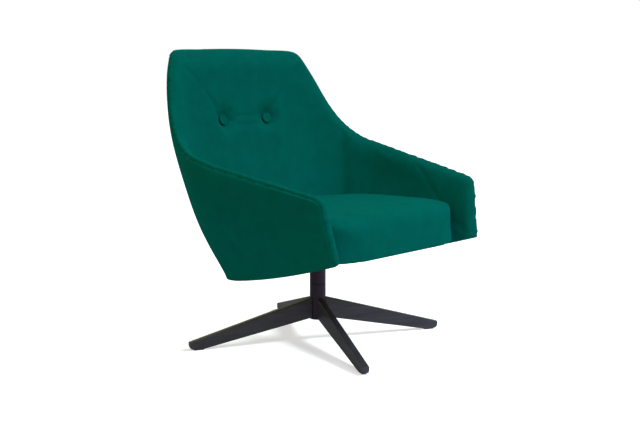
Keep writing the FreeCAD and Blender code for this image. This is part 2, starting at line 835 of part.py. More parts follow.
def arm_stations(start):
    """Sections of one arm from a distance behind its front edge to the seam with the back."""
    steps = [size("edge_round") * share for share in (0.0, 0.06, 0.18, 0.36, 0.56, 0.8, 1.07)]
    steps += [-size("arm_toe") * share for share in (0.13, 0.2, 0.3, 0.42, 0.55, 0.69, 0.83)]
    steps = [start] + [behind for behind in steps if behind > start + 1.0]
    return ([arm_station(behind) for behind in steps]
            + [fan_station(angle) for angle in range(0, SEAM_ANGLE + 1, 5)])


def back_stations():
    """Sections of half the back, from the seam with the arm to the middle."""
    angles = list(range(SEAM_ANGLE, 76, 3)) + [80, 85]
    return ([fan_station(angle) for angle in angles]
            + [back_station(FAN_CENTRE * share) for share in (1.0, 0.75, 0.5, 0.25, 0.0)])


def mirror_wire(wire):
    """Section on the other side of the chair."""
    return wire.mirror(Vector(), Vector(1, 0, 0))


def shell_layer(make_wire, stations, across):
    """Loft of one layer, on one side or right across the back."""
    wires = [make_wire(station) for station in stations]
    if across:
        wires += [mirror_wire(wire) for wire in reversed(wires[:-1])]
    return loft(wires)


def cover_wire(station):
    """Section of the outer cover."""
    return layer_wire(station, 0.0, size("cover_thickness"), station.low, station.top)


def panel_wire(station):
    """Section of the plywood panel between cover and upholstery."""
    start = size("cover_thickness") + size("layer_gap")
    return layer_wire(station, start, start + size("panel_thickness"), station.low,
                      station.top - size("edge_wrap"))


# Seat frame: rails, board and their screws
rail_rise = size("rail_height") * math.hypot(1, size("seat_slope"))
behind_panel = size("cover_thickness") + size("panel_thickness") + 4 * size("layer_gap")
RAIL_DEPTHS = [size("board_front") * share for share in (1.0, 0.8, 0.55, 0.35, 0.17, 0.0)]
REAR_SPREAD = [FAN_CENTRE * share for share in (1.0, 0.5, 0.0, -0.5, -1.0)]


def side_station(y):
    """Upright section across one side at a depth."""
    return Station(Vector(), Vector(1, 0, 0), size("arm_top"), size("arm_thickness"), 1.0, 0.0, y)


def side_rail_wire(y):
    """Section of the side rail, whose outer face follows the plywood panel."""
    low, high = board_low(y) - rail_rise, board_low(y)
    outer_low, outer_high = (side_station(y).face(behind_panel, z) for z in (low, high))
    inner = size("side_rail_inner")
    return Part.makePolygon([Vector(inner, y, low), outer_low, outer_high, Vector(inner, y, high),
                             Vector(inner, y, low)])


def behind_board(x, offset):
    """Point on the rear panel's inner face, at an offset from the board's underside plane."""
    station = back_station(x)
    spot = Vector(x, size("board_rear"), 0)
    for _ in range(8):
        spot = station.face(behind_panel, board_low(spot.y) + offset)
    return spot


def rear_rail_wire(x):
    """Section of the rear rail, whose rear face follows the plywood panel."""
    outer_low, outer_high = behind_board(x, -rail_rise), behind_board(x, 0.0)
    inner = Vector(0, -size("rear_rail_width"), size("seat_slope") * size("rear_rail_width"))
    corners = [outer_low + inner, outer_low, outer_high, outer_high + inner]
    return Part.makePolygon(corners + corners[:1])


def plan_slab(corners, low, high):
    """Slab between two sloping planes, cut to a plan outline given for the left half."""
    outline = [Vector(x, y, 0) for x, y in corners] + [Vector(-x, y, 0) for x, y in reversed(corners)]
    prism = Part.Face(Part.makePolygon(outline + outline[:1])).extrude(Vector(0, 0, size("crown")))
    depths = [y for x, y in corners]
    widest = max(x for x, y in corners) + 1
    return prism.common(slab(min(depths) - 1, max(depths) + 1, widest, low, high))


def screw(start, along):
    """Flat-headed screw from the middle of its head."""
    head = Part.makeCylinder(size("screw_head_radius"), size("screw_head"), start, along)
    shank = Part.makeCylinder(size("screw_radius"), size("screw_length"), start, along)
    return head.fuse(shank).removeSplitter()


def screw_space(start, along):
    """Hole with a recess for one screw, open towards its head."""
    fit = size("bolt_clearance")
    recess = Part.makeCylinder(size("screw_head_radius") + fit, size("screw_head") + fit + 5,
                               start - along * 5, along)
    return recess.fuse(Part.makeCylinder(size("screw_radius") + fit, size("screw_length") + fit,
                                         start, along))


side_rail = loft([side_rail_wire(y) for y in RAIL_DEPTHS])
rear_rail = loft([rear_rail_wire(x) for x in REAR_SPREAD])
front_rail = slab(size("board_front"), size("board_front") + size("rail_width"),
                  size("side_rail_inner") - size("layer_gap"), -rail_rise, 0)
half, rear = size("board_half_width"), size("board_rear")
chamfer = size("board_chamfer")
board = plan_slab([(half, size("board_front")), (half, rear - chamfer),
                   (half - chamfer * 0.44, rear - chamfer * 0.27), (half - chamfer * 1.23, rear)],
                  0, board_high)

down = Vector(0, 0, -1)
side_x = size("side_rail_inner") + 0.7 * size("rail_width")
spread = size("side_rail_inner") * 0.55
BOARD_SCREWS = [(side * side_x, size("board_front") * share)
                for side in (1, -1) for share in (0.86, 0.59, 0.31, 0.03)]
BOARD_SCREWS += [(x, size("board_front") + size("rail_width") / 2) for x in (-spread, 0.0, spread)]
BOARD_SCREWS += [(x * 0.67, rear - size("rear_rail_width") * 0.3) for x in (-spread, 0.0, spread)]
board_starts = [Vector(x, y, board_top(y) - size("screw_sink")) for x, y in BOARD_SCREWS]
feature("board_screws", Part.makeCompound([screw(start, down) for start in board_starts]))

panel_starts = []
panel_face = size("cover_thickness") + size("layer_gap")
sink = size("panel_screw_sink")
for y in (size("board_front") * share for share in (0.83, 0.52, 0.2)):
    spot = side_station(y).face(panel_face, board_low(y) - rail_rise / 2)
    for side in (1, -1):
        panel_starts.append((Vector(side * (spot.x - sink), spot.y, spot.z), Vector(-side, 0, 0)))
for x in (-FAN_CENTRE * 0.42, FAN_CENTRE * 0.42):
    spot = back_station(x).face(panel_face, board_low(rear) - rail_rise / 2)
    panel_starts.append((spot - Vector(0, 2 * sink, 0), Vector(0, -1, 0)))
feature("panel_screws", Part.makeCompound([screw(start, along) for start, along in panel_starts]))

for start in board_starts:
    space = screw_space(start, down)
    side_rail, rear_rail, front_rail, board = (
        shape.cut(space) for shape in (side_rail, rear_rail, front_rail, board))
panel_spaces = [screw_space(start, along) for start, along in panel_starts]
for space in panel_spaces:
    side_rail, rear_rail = side_rail.cut(space), rear_rail.cut(space)
feature("side_rail_left", side_rail)
feature("side_rail_right", mirrored(side_rail))
feature("rear_rail", rear_rail)
feature("front_rail", front_rail)
for x, y in PLATE_BOLTS:
    top = board_top(y)
    nut_low = top - size("tee_depth") - size("bolt_clearance")
    board = board.cut(upright_rod(bolt_hole + size("tee_wall"), x, y, nut_low - size("tee_length"), top))
    board = board.cut(upright_rod(size("tee_radius") + size("bolt_clearance"), x, y,
                                  nut_low - size("tee_wall"), top + board_high))
    board = board.cut(upright_rod(bolt_hole, x, y, board_low(y) - board_high, top))
feature("seat_board", board)

cloth_half = size("cloth_half_width")
cloth_top = -rail_rise - size("layer_gap")
cloth = plan_slab([(cloth_half, size("board_front")), (cloth_half - chamfer * 0.16, rear - chamfer * 0.93),
                   (cloth_half - chamfer * 0.6, rear - chamfer * 0.52),
                   (cloth_half - chamfer * 1.84, rear - chamfer * 0.27)],
                  cloth_top - size("cloth_thickness"), cloth_top)
opening_x = size("plate_bolt_x") + size("wedge_width") / 2 + size("cloth_opening")
opening_y = size("plate_depth") / 2 + size("cloth_opening")
cloth = cloth.cut(Part.makeBox(2 * opening_x, 2 * opening_y, size("crown"),
                               Vector(-opening_x, -opening_y, 0)))
feature("bottom_cloth", cloth)

# Shell: panels, covers and upholstery
BACK = back_stations()


def below_board_top(front, above):
    """Space from a front plane backwards, up to a height above the board's top."""
    return slab(front, size("back_top"), size("back_top"), -size("hem_rear"), board_high + above)


under_board = below_board_top(size("board_front") - size("layer_gap"), size("layer_gap"))

cover = shell_layer(cover_wire, arm_stations(0.0), False)
feature("outer_cover_left", cover)
feature("outer_cover_right", mirrored(cover))
feature("outer_cover_back", shell_layer(cover_wire, BACK, True))

panel = shell_layer(panel_wire, arm_stations(size("panel_setback") + size("layer_gap")), False)
back_panel = shell_layer(panel_wire, BACK, True)
for space in panel_spaces:
    panel, back_panel = panel.cut(space), back_panel.cut(space)

arm_pocket = arm_stations(size("panel_setback")) + [fan_station(SEAM_ANGLE + 4)]
back_pocket = [fan_station(SEAM_ANGLE - 4)] + BACK
arm_pad = shell_layer(pad_wire, arm_stations(0.0), False)
arm_pad = arm_pad.cut(shell_layer(pocket_wire, arm_pocket, False)).cut(under_board)
back_pad = shell_layer(pad_wire, BACK, True)
back_pad = back_pad.cut(shell_layer(pocket_wire, back_pocket, True)).cut(under_board)


# Buttons, their dimples, ties and toggles
def aimed(shape, spot, along):
    """The shape, made along +Z from the origin, moved to a spot and turned along a direction."""
    copy = shape.copy()
    copy.Placement = Placement(spot, Rotation(Vector(0, 0, 1), along)).multiply(shape.Placement)
    return copy


def button_shape():
    """Domed button with a bore for its tie, its back at height 0."""
    radius, height = size("button_radius"), size("button_height")
    dome = height - size("button_rim")
    ball = (radius ** 2 + dome ** 2) / (2 * dome)
    body = Part.makeCylinder(radius, height).common(Part.makeSphere(ball, Vector(0, 0, height - ball)))
    return body.cut(Part.makeCylinder(size("tie_radius") + size("bolt_clearance"), height / 2))


button_station = back_station(size("button_x"))
face_spot = button_station.face(size("back_thickness"), size("button_z"))
upward = button_station.frame(size("button_z"))[1]
swing = math.asin(size("button_x") / size("back_radius"))
outward = Vector(-math.sin(swing), -math.cos(swing), math.cos(swing) * upward[0] / upward[1]).normalize()
depth = size("dimple_depth")
ball = (size("dimple_radius") ** 2 + depth ** 2) / (2 * depth)
seat_spot = face_spot - outward * size("button_sink")
through = size("back_thickness") - size("cover_thickness") - size("layer_gap")
toggle_spot = face_spot - outward * (through - size("toggle_thickness") * 0.64)
tie_length = (seat_spot - toggle_spot).Length + size("button_height") / 2 - size("layer_gap")
hole = size("tie_radius") + size("layer_gap")
fit = size("bolt_clearance")
PIECES = {
    "button": aimed(button_shape(), seat_spot, outward),
    "tie": aimed(Part.makeCylinder(size("tie_radius"), tie_length), toggle_spot, outward),
    "toggle": aimed(Part.makeCylinder(size("toggle_radius"), size("toggle_thickness")).cut(
        Part.makeCylinder(size("tie_radius") + fit, size("toggle_thickness"))), toggle_spot, outward),
}
pad_spaces = [
    Part.makeSphere(ball, face_spot + outward * (ball - depth)),
    aimed(Part.makeCylinder(size("button_radius") + size("layer_gap"), depth), seat_spot, outward),
    aimed(Part.makeCylinder(hole, through), toggle_spot, outward),
]
recess = 3 * size("toggle_thickness")
panel_space = aimed(Part.makeCylinder(size("toggle_radius") + fit, recess),
                    toggle_spot - outward * (recess - size("toggle_thickness")), outward)
for space in pad_spaces:
    back_pad = back_pad.cut(space).cut(mirrored(space))
for space in (panel_space, pad_spaces[-1]):
    back_panel = back_panel.cut(space).cut(mirrored(space))

feature("button_left", PIECES["button"])
feature("button_right", mirrored(PIECES["button"]))
feature("button_ties", Part.makeCompound([PIECES["tie"], mirrored(PIECES["tie"])]))
feature("button_toggles", Part.makeCompound([PIECES["toggle"], mirrored(PIECES["toggle"])]))
feature("shell_panel_left", panel)
feature("shell_panel_right", mirrored(panel))
feature("shell_panel_back", back_panel)
feature("arm_pad_left", arm_pad)
feature("arm_pad_right", mirrored(arm_pad))
feature("back_pad", back_pad)


# Cushion
INNER_STATIONS = [side_station(size("arm_toe") * share / 10) for share in range(11, 0, -1)]
INNER_STATIONS += [fan_station(angle) for angle in range(0, 90, 5)]
INNER_STATIONS += [back_station(FAN_CENTRE * share / 4) for share in range(4, -1, -1)]


def inner_half_width(y, z):
    """Half width between the arms' inner faces at a depth and a height, less the cushion's gap."""
    spots = [station.face(station.thickness + size("cushion_gap"), z) for station in INNER_STATIONS]
    for near, far in zip(spots, spots[1:]):
        if near.y <= y <= far.y:
            return near.x + (far.x - near.x) * (y - near.y) / (far.y - near.y)
    return 0.0


def quarter_drop(behind, depth, height):
    """How far a quarter ellipse lies below its level at a distance behind its front."""
    share = min(behind / depth, 1.0)
    return height * (1 - math.sqrt(share * (2 - share)))


def cushion_wire(behind, lean, fall):
    """Section of the cushion at a distance behind its front, leaning back as it rises."""
    toe = size("cushion_front") + behind
    drop = quarter_drop(behind, size("cushion_round"), size("cushion_round")) + fall
    foot_draw = quarter_drop(behind, size("cushion_bow_depth"), size("cushion_bow"))
    top_draw = quarter_drop(behind, size("cushion_corner_depth"), size("cushion_corner"))

    def level(x, z):
        return Vector(x, toe + lean * (z - size("cushion_foot")), z)

    def side(share):
        z = foot + (side_top - foot) * share
        return level(inner_half_width(level(0, z).y, z) - foot_draw - (top_draw - foot_draw) * share, z)

    foot = size("cushion_foot")
    for _ in range(4):
        foot = min(size("cushion_foot"), board_top(level(0, foot).y) - 3)
    side_top = size("cushion_side_height") - drop
    crown = side_top + size("cushion_crown")
    flank = [side(step / 6) for step in range(7)]
    low, high = flank[0], flank[-1]
    corner = level(high.x - 1.0, side_top + size("cushion_crown") * 0.41)
    shoulder = level(high.x - size("cushion_shoulder"), side_top + size("cushion_crown") * 0.6)

    def other(point):
        return Vector(-point.x, point.y, point.z)

    return Part.Wire([
        Part.makeLine(other(low), low),
        smooth_edge(flank),
        bezier([high, corner, shoulder]),
        Part.Arc(shoulder, level(0, crown), other(shoulder)).toShape(),
        bezier([other(shoulder), other(corner), other(high)]),
        smooth_edge([other(point) for point in reversed(flank)]),
    ])


def cushion_solid():
    """Crowned cushion with a rounded front edge and rounded front corners, set between the arms."""
    depth = size("cushion_corner_depth")
    whole = size("cushion_rear") - size("cushion_front")
    lean, more_lean = size("cushion_front_lean"), size("cushion_rear_lean") - size("cushion_front_lean")
    wires = []
    for step in range(13):
        turn = math.pi / 2 * (step / 12) ** 1.3
        wires.append(cushion_wire(depth * (1 - math.cos(turn)), lean, 0.0))
    for step in range(1, 13):
        share = 1 - (1 - step / 12) ** 1.6
        wires.append(cushion_wire(depth + (whole - depth) * share, lean + more_lean * share,
                                  size("cushion_rear_fall") * share ** 2))
    return loft(wires)


def front_border():
    """Padded border over the front rail, with a flap back over the board under the cushion."""
    rear = size("board_front") - size("layer_gap")
    front = rear - size("border_thickness")
    flap_low = board_high + size("layer_gap")
    flap_high = flap_low + size("flap_thickness")
    low, high = board_low(rear) - rail_rise, board_low(rear) + flap_high
    low_x, high_x = inner_half_width(front, low), inner_half_width(front, high)
    corners = [Vector(-low_x, front, low), Vector(low_x, front, low), Vector(high_x, front, high),
               Vector(-high_x, front, high)]
    strip = Part.Face(Part.makePolygon(corners + corners[:1])).extrude(Vector(0, rear - front, 0))
    flap = slab(front, rear + size("border_flap"), size("board_half_width") - size("layer_gap"),
                flap_low, flap_high)
    return strip.fuse(flap).removeSplitter()


feature("front_border", front_border())
border_front = size("board_front") - size("border_thickness") - 2 * size("layer_gap")
feature("seat_cushion", cushion_solid().cut(
    below_board_top(border_front, size("flap_thickness") + 2 * size("layer_gap"))))

doc.recompute()
for item in SUB_PARTS:
    if {"Invalid", "Error"} & set(item.State):
        raise RuntimeError(item.Label + " did not compute")
    if item.Shape.isNull() or not item.Shape.isValid():
        raise RuntimeError(item.Label + " has no valid shape")

for item in SUB_PARTS:
    item.Shape.exportStep("parts/" + item.Label + ".step")
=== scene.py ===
"""Looks of the swivel armchair: felt shell and cushion, stained legs, satin column, white studio.

Everything is in metres, +Z up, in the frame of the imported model. The chair faces -Y, and left and
right are the sitter's, so the left side is +X.
"""

import logging
import math
from dataclasses import dataclass, field
from enum import Enum
from functools import cached_property
from typing import Callable, Iterable, Sequence

import bmesh
import bpy
import numpy as np
from mathutils import Matrix, Vector
from mathutils.bvhtree import BVHTree
from mathutils.kdtree import KDTree


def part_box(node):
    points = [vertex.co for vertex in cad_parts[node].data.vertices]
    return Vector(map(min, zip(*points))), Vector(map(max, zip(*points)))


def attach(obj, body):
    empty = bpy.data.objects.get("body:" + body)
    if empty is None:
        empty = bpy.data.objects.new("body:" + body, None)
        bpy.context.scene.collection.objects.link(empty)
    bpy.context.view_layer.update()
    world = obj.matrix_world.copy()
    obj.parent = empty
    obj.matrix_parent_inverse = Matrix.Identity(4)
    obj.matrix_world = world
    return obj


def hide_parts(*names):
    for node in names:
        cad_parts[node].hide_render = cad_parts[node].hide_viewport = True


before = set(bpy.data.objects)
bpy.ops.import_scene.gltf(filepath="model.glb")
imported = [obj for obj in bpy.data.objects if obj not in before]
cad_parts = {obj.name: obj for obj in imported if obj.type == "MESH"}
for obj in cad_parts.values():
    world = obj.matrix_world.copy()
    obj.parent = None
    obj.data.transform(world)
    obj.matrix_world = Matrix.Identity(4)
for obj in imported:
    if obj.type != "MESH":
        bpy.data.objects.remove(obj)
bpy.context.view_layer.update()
log = logging.getLogger("armchair")

Mesh = bpy.types.Mesh
Node = bpy.types.Node
Object = bpy.types.Object
Material = bpy.types.Material
Triple = tuple[float, float, float]
Colour = Triple
Span = tuple[float, float]
Ray = Callable[[float], tuple[Vector, Vector]]

# Edges that turn by more than this are bevelled.
SHARP = math.radians(50)
# Legs and glides, in order round the column.
CORNERS = ("front_left", "rear_left", "rear_right", "front_right")


class Side(Enum):
    """Sitter's sides, with the sign of x on each."""

    LEFT = 1
    RIGHT = -1

    @property
    def word(self) -> str:
        """Name of the side as the nodes spell it."""
        return self.name.lower()


# Shader graphs
class Graph:
    """Nodes of a new material or world, with short calls to add and join them."""

    def __init__(self, name: str, world: bool = False) -> None:
        """Start empty.

        Args:
            name: Name of the material or world.
            world: Whether it is a world.
        """
        self.holder = bpy.data.worlds.new(name) if world else bpy.data.materials.new(name)
        self.holder.use_nodes = True
        self.tree = self.holder.node_tree
        self.tree.nodes.clear()
        self.output = self.add("ShaderNodeOutputWorld" if world else "ShaderNodeOutputMaterial")

    @cached_property
    def place(self) -> Node:
        """Node with the Object coordinates."""
        return self.add("ShaderNodeTexCoord")

    def add(self, kind: str, **values: object) -> Node:
        """Add a node and set its properties or, by socket name, its inputs.

        Args:
            kind: The node's class name.
            **values: Properties, or inputs with spaces written as underscores.

        Returns:
            The new node.
        """
        node = self.tree.nodes.new(kind)
        for key, value in values.items():
            if hasattr(node, key):
                setattr(node, key, value)
            else:
                node.inputs[key.replace("_", " ")].default_value = value
        return node

    def join(self, source: Node, out: str, target: Node, into: str | int) -> None:
        """Link one node's output to another's input."""
        self.tree.links.new(source.outputs[out], target.inputs[into])

    def wire(self, *joins: tuple[Node, str, Node, str | int]) -> None:
        """Make several links."""
        for join in joins:
            self.join(*join)

    def noise(self, scale: float, detail: float = 3.0, stretch: Sequence[float] = (1, 1, 1),
              turn: float = 0.0) -> Node:
        """Noise on Object coordinates.

        Args:
            scale: Cells per metre.
            detail: Octaves.
            stretch: Scale along each axis after the turn.
            turn: Turn about Z in radians that lines the pattern up with the piece.

        Returns:
            The noise node.
        """
        straighten = self.add("ShaderNodeMapping")
        straighten.inputs["Rotation"].default_value = (0.0, 0.0, -turn)
        self.join(self.place, "Object", straighten, "Vector")
        lengthen = self.add("ShaderNodeMapping")
        lengthen.inputs["Scale"].default_value = tuple(stretch)
        self.join(straighten, "Vector", lengthen, "Vector")
        texture = self.add("ShaderNodeTexNoise", Scale=scale, Detail=detail)
        self.join(lengthen, "Vector", texture, "Vector")
        return texture

    def blend(self, first: Node, second: Node, share: float = 0.5) -> Node:
        """Mix two noises.

        Args:
            first: One noise.
            second: Another one.
            share: The second one's share.

        Returns:
            The mixing node.
        """
        mix = self.add("ShaderNodeMix", data_type="FLOAT")
        mix.inputs["Factor"].default_value = share
        self.join(first, "Fac", mix, "A")
        self.join(second, "Fac", mix, "B")
        return mix

    def ramp(self, source: Node, out: str, stops: Sequence[float], *colours: Colour) -> Node:
        """Colour ramp over an output.

        Args:
            source: Node that drives the ramp.
            out: Its output.
            stops: Positions, 0 to 1.
            *colours: A colour for each position.

        Returns:
            The ramp node.
        """
        ramp = self.add("ShaderNodeValToRGB")
        elements = ramp.color_ramp.elements
        while len(elements) < len(stops):
            elements.new(0.5)
        for element, position, colour in zip(elements, stops, colours):
            element.position = position
            element.color = (*colour, 1.0)
        self.join(source, out, ramp, "Fac")
        return ramp

    def bump(self, source: Node, out: str, strength: float, depth: float,
             below: Node | None = None) -> Node:
        """Bump from a height, over an earlier bump if one is given.

        Args:
            source: Node that gives the height.
            out: Its output.
            strength: Share of the bump, 0 to 1.
            depth: Depth in metres.
            below: An earlier bump.

        Returns:
            The bump node.
        """
        bump = self.add("ShaderNodeBump", Strength=strength, Distance=depth)
        self.join(source, out, bump, "Height")
        if below is not None:
            self.join(below, "Normal", bump, "Normal")
        return bump

    def finish(self, colour: Node, bump: Node, **constants: float | Colour) -> Material:
        """Add the Principled shader and set it.

        Args:
            colour: Node whose Color output is the base colour.
            bump: Last bump node.
            **constants: Shader inputs that are the same all over.

        Returns:
            The finished material.
        """
        shader = self.add("ShaderNodeBsdfPrincipled")
        self.wire((shader, "BSDF", self.output, "Surface"), (colour, "Color", shader, "Base Color"),
                  (bump, "Normal", shader, "Normal"))
        for key, value in constants.items():
            socket = shader.inputs[key.replace("_", " ")]
            socket.default_value = (*value, 1.0) if isinstance(value, tuple) else value
        return self.holder


# Finishes
@dataclass(frozen=True)
class Felt:
    """Milled wool cloth: short matted fibres, slightly cloudy colour, soft sheen."""

    name: str = "felt_teal"
    deep: Colour = (0.0003, 0.112, 0.085)
    main: Colour = (0.0004, 0.132, 0.103)
    light: Colour = (0.0008, 0.152, 0.121)
    stops: Triple = (0.30, 0.5, 0.72)
    roughness: float = 0.95
    sheen: float = 0.16
    sheen_tint: Colour = (0.02, 0.75, 0.80)
    fibre_scale: float = 1500.0
    tuft_scale: float = 420.0
    cloud_scale: float = 26.0
    tuft_share: float = 0.6
    nap_bump: Span = (0.35, 0.0007)
    fuzz_bump: Span = (0.30, 0.0003)

    def build(self) -> Material:
        """Make the material.

        Returns:
            The felt.
        """
        graph = Graph(self.name)
        cloud = graph.noise(self.cloud_scale, 2.0)
        tuft = graph.noise(self.tuft_scale, 4.0)
        fibre = graph.noise(self.fibre_scale, 3.0)
        mix = graph.blend(cloud, tuft, self.tuft_share)
        colour = graph.ramp(mix, "Result", self.stops, self.deep, self.main, self.light)
        nap = graph.bump(tuft, "Fac", *self.nap_bump)
        fuzz = graph.bump(fibre, "Fac", *self.fuzz_bump, nap)
        return graph.finish(colour, fuzz, Roughness=self.roughness, Sheen_Weight=self.sheen,
                            Sheen_Roughness=0.5, Sheen_Tint=self.sheen_tint, Specular_IOR_Level=0.0)


@dataclass(frozen=True)
class Timber:
    """Wood with its grain along one level direction, turned about Z from +X."""

    name: str
    dark: Colour
    light: Colour
    turn: float = 0.0
    roughness: float = 0.45
    coat: float = 0.0
    band_scale: float = 70.0
    pore_scale: float = 650.0
    pore_share: float = 0.45
    pore_bump: Span = (0.5, 0.0003)
    stops: Span = (0.32, 0.68)

    def build(self) -> Material:
        """Make the material.

        Returns:
            The wood.
        """
        graph = Graph(self.name)
        band = graph.noise(self.band_scale, 4.0, (0.06, 1.0, 1.0), self.turn)
        pore = graph.noise(self.pore_scale, 3.0, (0.03, 1.0, 1.0), self.turn)
        mix = graph.blend(band, pore, self.pore_share)
        colour = graph.ramp(mix, "Result", self.stops, self.dark, self.light)
        open_grain = graph.bump(pore, "Fac", *self.pore_bump)
        return graph.finish(colour, open_grain, Roughness=self.roughness, Coat_Weight=self.coat,
                            Coat_Roughness=0.3)


@dataclass(frozen=True)
class Metal:
    """Metal or coated metal with a fine, slightly uneven surface."""

    name: str
    dark: Colour
    light: Colour
    roughness: float
    metallic: float = 1.0
    grain: float = 900.0
    detail: float = 3.0
    stops: Span = (0.35, 0.65)
    skin_bump: Span = (0.4, 0.00004)

    def build(self) -> Material:
        """Make the material.

        Returns:
            The metal or plastic.
        """
        graph = Graph(self.name)
        speck = graph.noise(self.grain, self.detail)
        colour = graph.ramp(speck, "Fac", self.stops, self.dark, self.light)
        skin = graph.bump(speck, "Fac", *self.skin_bump)
        return graph.finish(colour, skin, Roughness=self.roughness, Metallic=self.metallic)


@dataclass(frozen=True)
class Moulded(Metal):
    """Moulded plastic with a fine grain, built as the metals are."""

    roughness: float = 0.5
    metallic: float = 0.0
    grain: float = 1400.0
    detail: float = 2.0
    stops: Span = (0.4, 0.6)
    skin_bump: Span = (0.5, 0.00006)


@dataclass(frozen=True)
class WovenCloth:
    """Plain weave or non-woven cloth with crossing threads."""

    name: str
    dark: Colour
    light: Colour
    thread: float = 700.0
    thread_bump: Span = (0.6, 0.0003)
    stops: Span = (0.35, 0.65)

    def build(self) -> Material:
        """Make the material.

        Returns:
            The cloth.
        """
        graph = Graph(self.name)
        warp = graph.noise(self.thread, 2.0, (1.0, 0.08, 0.5))
        weft = graph.noise(self.thread, 2.0, (0.08, 1.0, 0.5))
        mix = graph.blend(warp, weft)
        colour = graph.ramp(mix, "Result", self.stops, self.dark, self.light)
        threads = graph.bump(mix, "Result", *self.thread_bump)
        return graph.finish(colour, threads, Roughness=0.9)


# Mesh helpers
def deselect() -> None:
    """Leave nothing selected and no object in edit mode."""
    if bpy.context.object is not None and bpy.context.object.mode != "OBJECT":
        bpy.ops.object.mode_set(mode="OBJECT")
    bpy.ops.object.select_all(action="DESELECT")


def make_active(piece: Object) -> None:
    """Select one object alone and make it the active one.

    Args:
        piece: The object.
    """
    deselect()
    piece.select_set(True)
    bpy.context.view_layer.objects.active = piece


def apply_modifier(piece: Object, kind: str, **values: object) -> None:
    """Add a modifier, set it and apply it.

    Args:
        piece: The object.
        kind: The modifier's type.
        **values: Its settings.
    """
    make_active(piece)
    modifier = piece.modifiers.new(kind.lower(), kind)
    for key, value in values.items():
        setattr(modifier, key, value)
    bpy.ops.object.modifier_apply(modifier=modifier.name)


def vectors_of(mesh: Mesh, what: str) -> np.ndarray:
    """One vector per vertex of a mesh.

    Args:
        mesh: The mesh.
        what: The vertices' property, co or normal.

    Returns:
        An array with a row per vertex.
    """
    values = np.empty(len(mesh.vertices) * 3, np.float32)
    mesh.vertices.foreach_get(what, values)
    return values.reshape(-1, 3).astype(float)


def points_of(piece: Object) -> np.ndarray:
    """Vertices of a piece."""
    return vectors_of(piece.data, "co")


def normals_of(piece: Object) -> np.ndarray:
    """Vertex normals of a piece."""
    return vectors_of(piece.data, "normal")


def move_points(piece: Object, points: np.ndarray) -> None:
    """Set a piece's vertices."""
    piece.data.vertices.foreach_set("co", points.astype(np.float32).ravel())
    piece.data.update()


def smoothstep(low: float, high: float, values: np.ndarray) -> np.ndarray:
    """Smooth rise from 0 at low to 1 at high."""
    share = np.clip((values - low) / (high - low), 0.0, 1.0)
    return share * share * (3 - 2 * share)


def plateau(rise: Span, fall: Span, values: np.ndarray) -> np.ndarray:
    """Smooth rise to 1 over one span and smooth fall back to 0 over a later one."""
    return smoothstep(*rise, values) * (1 - smoothstep(*fall, values))


def shifted(span: Span, start: float) -> Span:
    """A span counted from a start."""
    return start + span[0], start + span[1]


def soften(piece: Object, values: np.ndarray, rounds: int) -> np.ndarray:
    """Average one value per vertex with its neighbours' values, several times.

    Args:
        piece: The piece whose edges join the neighbours.
        values: One value per vertex.
        rounds: How often to average.

    Returns:
        The smoothed values.
    """
    ends = np.empty(len(piece.data.edges) * 2, np.int32)
    piece.data.edges.foreach_get("vertices", ends)
    first, second = ends.reshape(-1, 2).T
    count = np.maximum(np.bincount(ends, minlength=len(values)), 1)
    for _ in range(rounds):
        total = (np.bincount(first, values[second], len(values))
                 + np.bincount(second, values[first], len(values)))
        values = (values + total / count) / 2
    return values


def copy_of_nodes(name: str, nodes: Iterable[str]) -> Object:
    """Copy CAD nodes into one new piece with merged vertices.

    Args:
        name: Name of the new piece.
        nodes: Names of the CAD nodes.

    Returns:
        The new object.
    """
    whole = bmesh.new()
    for node in nodes:
        whole.from_mesh(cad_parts[node].data)
    bmesh.ops.remove_doubles(whole, verts=whole.verts, dist=1e-5)
    mesh = bpy.data.meshes.new(name)
    whole.to_mesh(mesh)
    whole.free()
    piece = bpy.data.objects.new(name, mesh)
    bpy.context.scene.collection.objects.link(piece)
    return piece


def tree_of_nodes(nodes: Iterable[str]) -> BVHTree:
    """Search tree over the surfaces of CAD nodes.

    Args:
        nodes: Names of the CAD nodes.

    Returns:
        The tree.
    """
    source = copy_of_nodes("cover_source", nodes)
    tree = BVHTree.FromPolygons([vertex.co.copy() for vertex in source.data.vertices],
                                [tuple(face.vertices) for face in source.data.polygons])
    bpy.data.objects.remove(source)
    return tree


def dress(piece: Object, material: Material) -> None:
    """Give a piece one material."""
    piece.data.materials.clear()
    piece.data.materials.append(material)


def shade_smooth(piece: Object) -> None:
    """Shade a piece smooth."""
    piece.data.polygons.foreach_set("use_smooth", [True] * len(piece.data.polygons))
    piece.data.update()


def bevel(piece: Object, width: float, segments: int = 3) -> None:
    """Round the sharp edges of a piece."""
    apply_modifier(piece, "BEVEL", width=width, segments=segments, limit_method="ANGLE",
                   angle_limit=SHARP)


def subdivide(piece: Object, levels: int = 1) -> None:
    """Subdivide a piece and shade it smooth."""
    apply_modifier(piece, "SUBSURF", levels=levels, render_levels=levels)
    shade_smooth(piece)


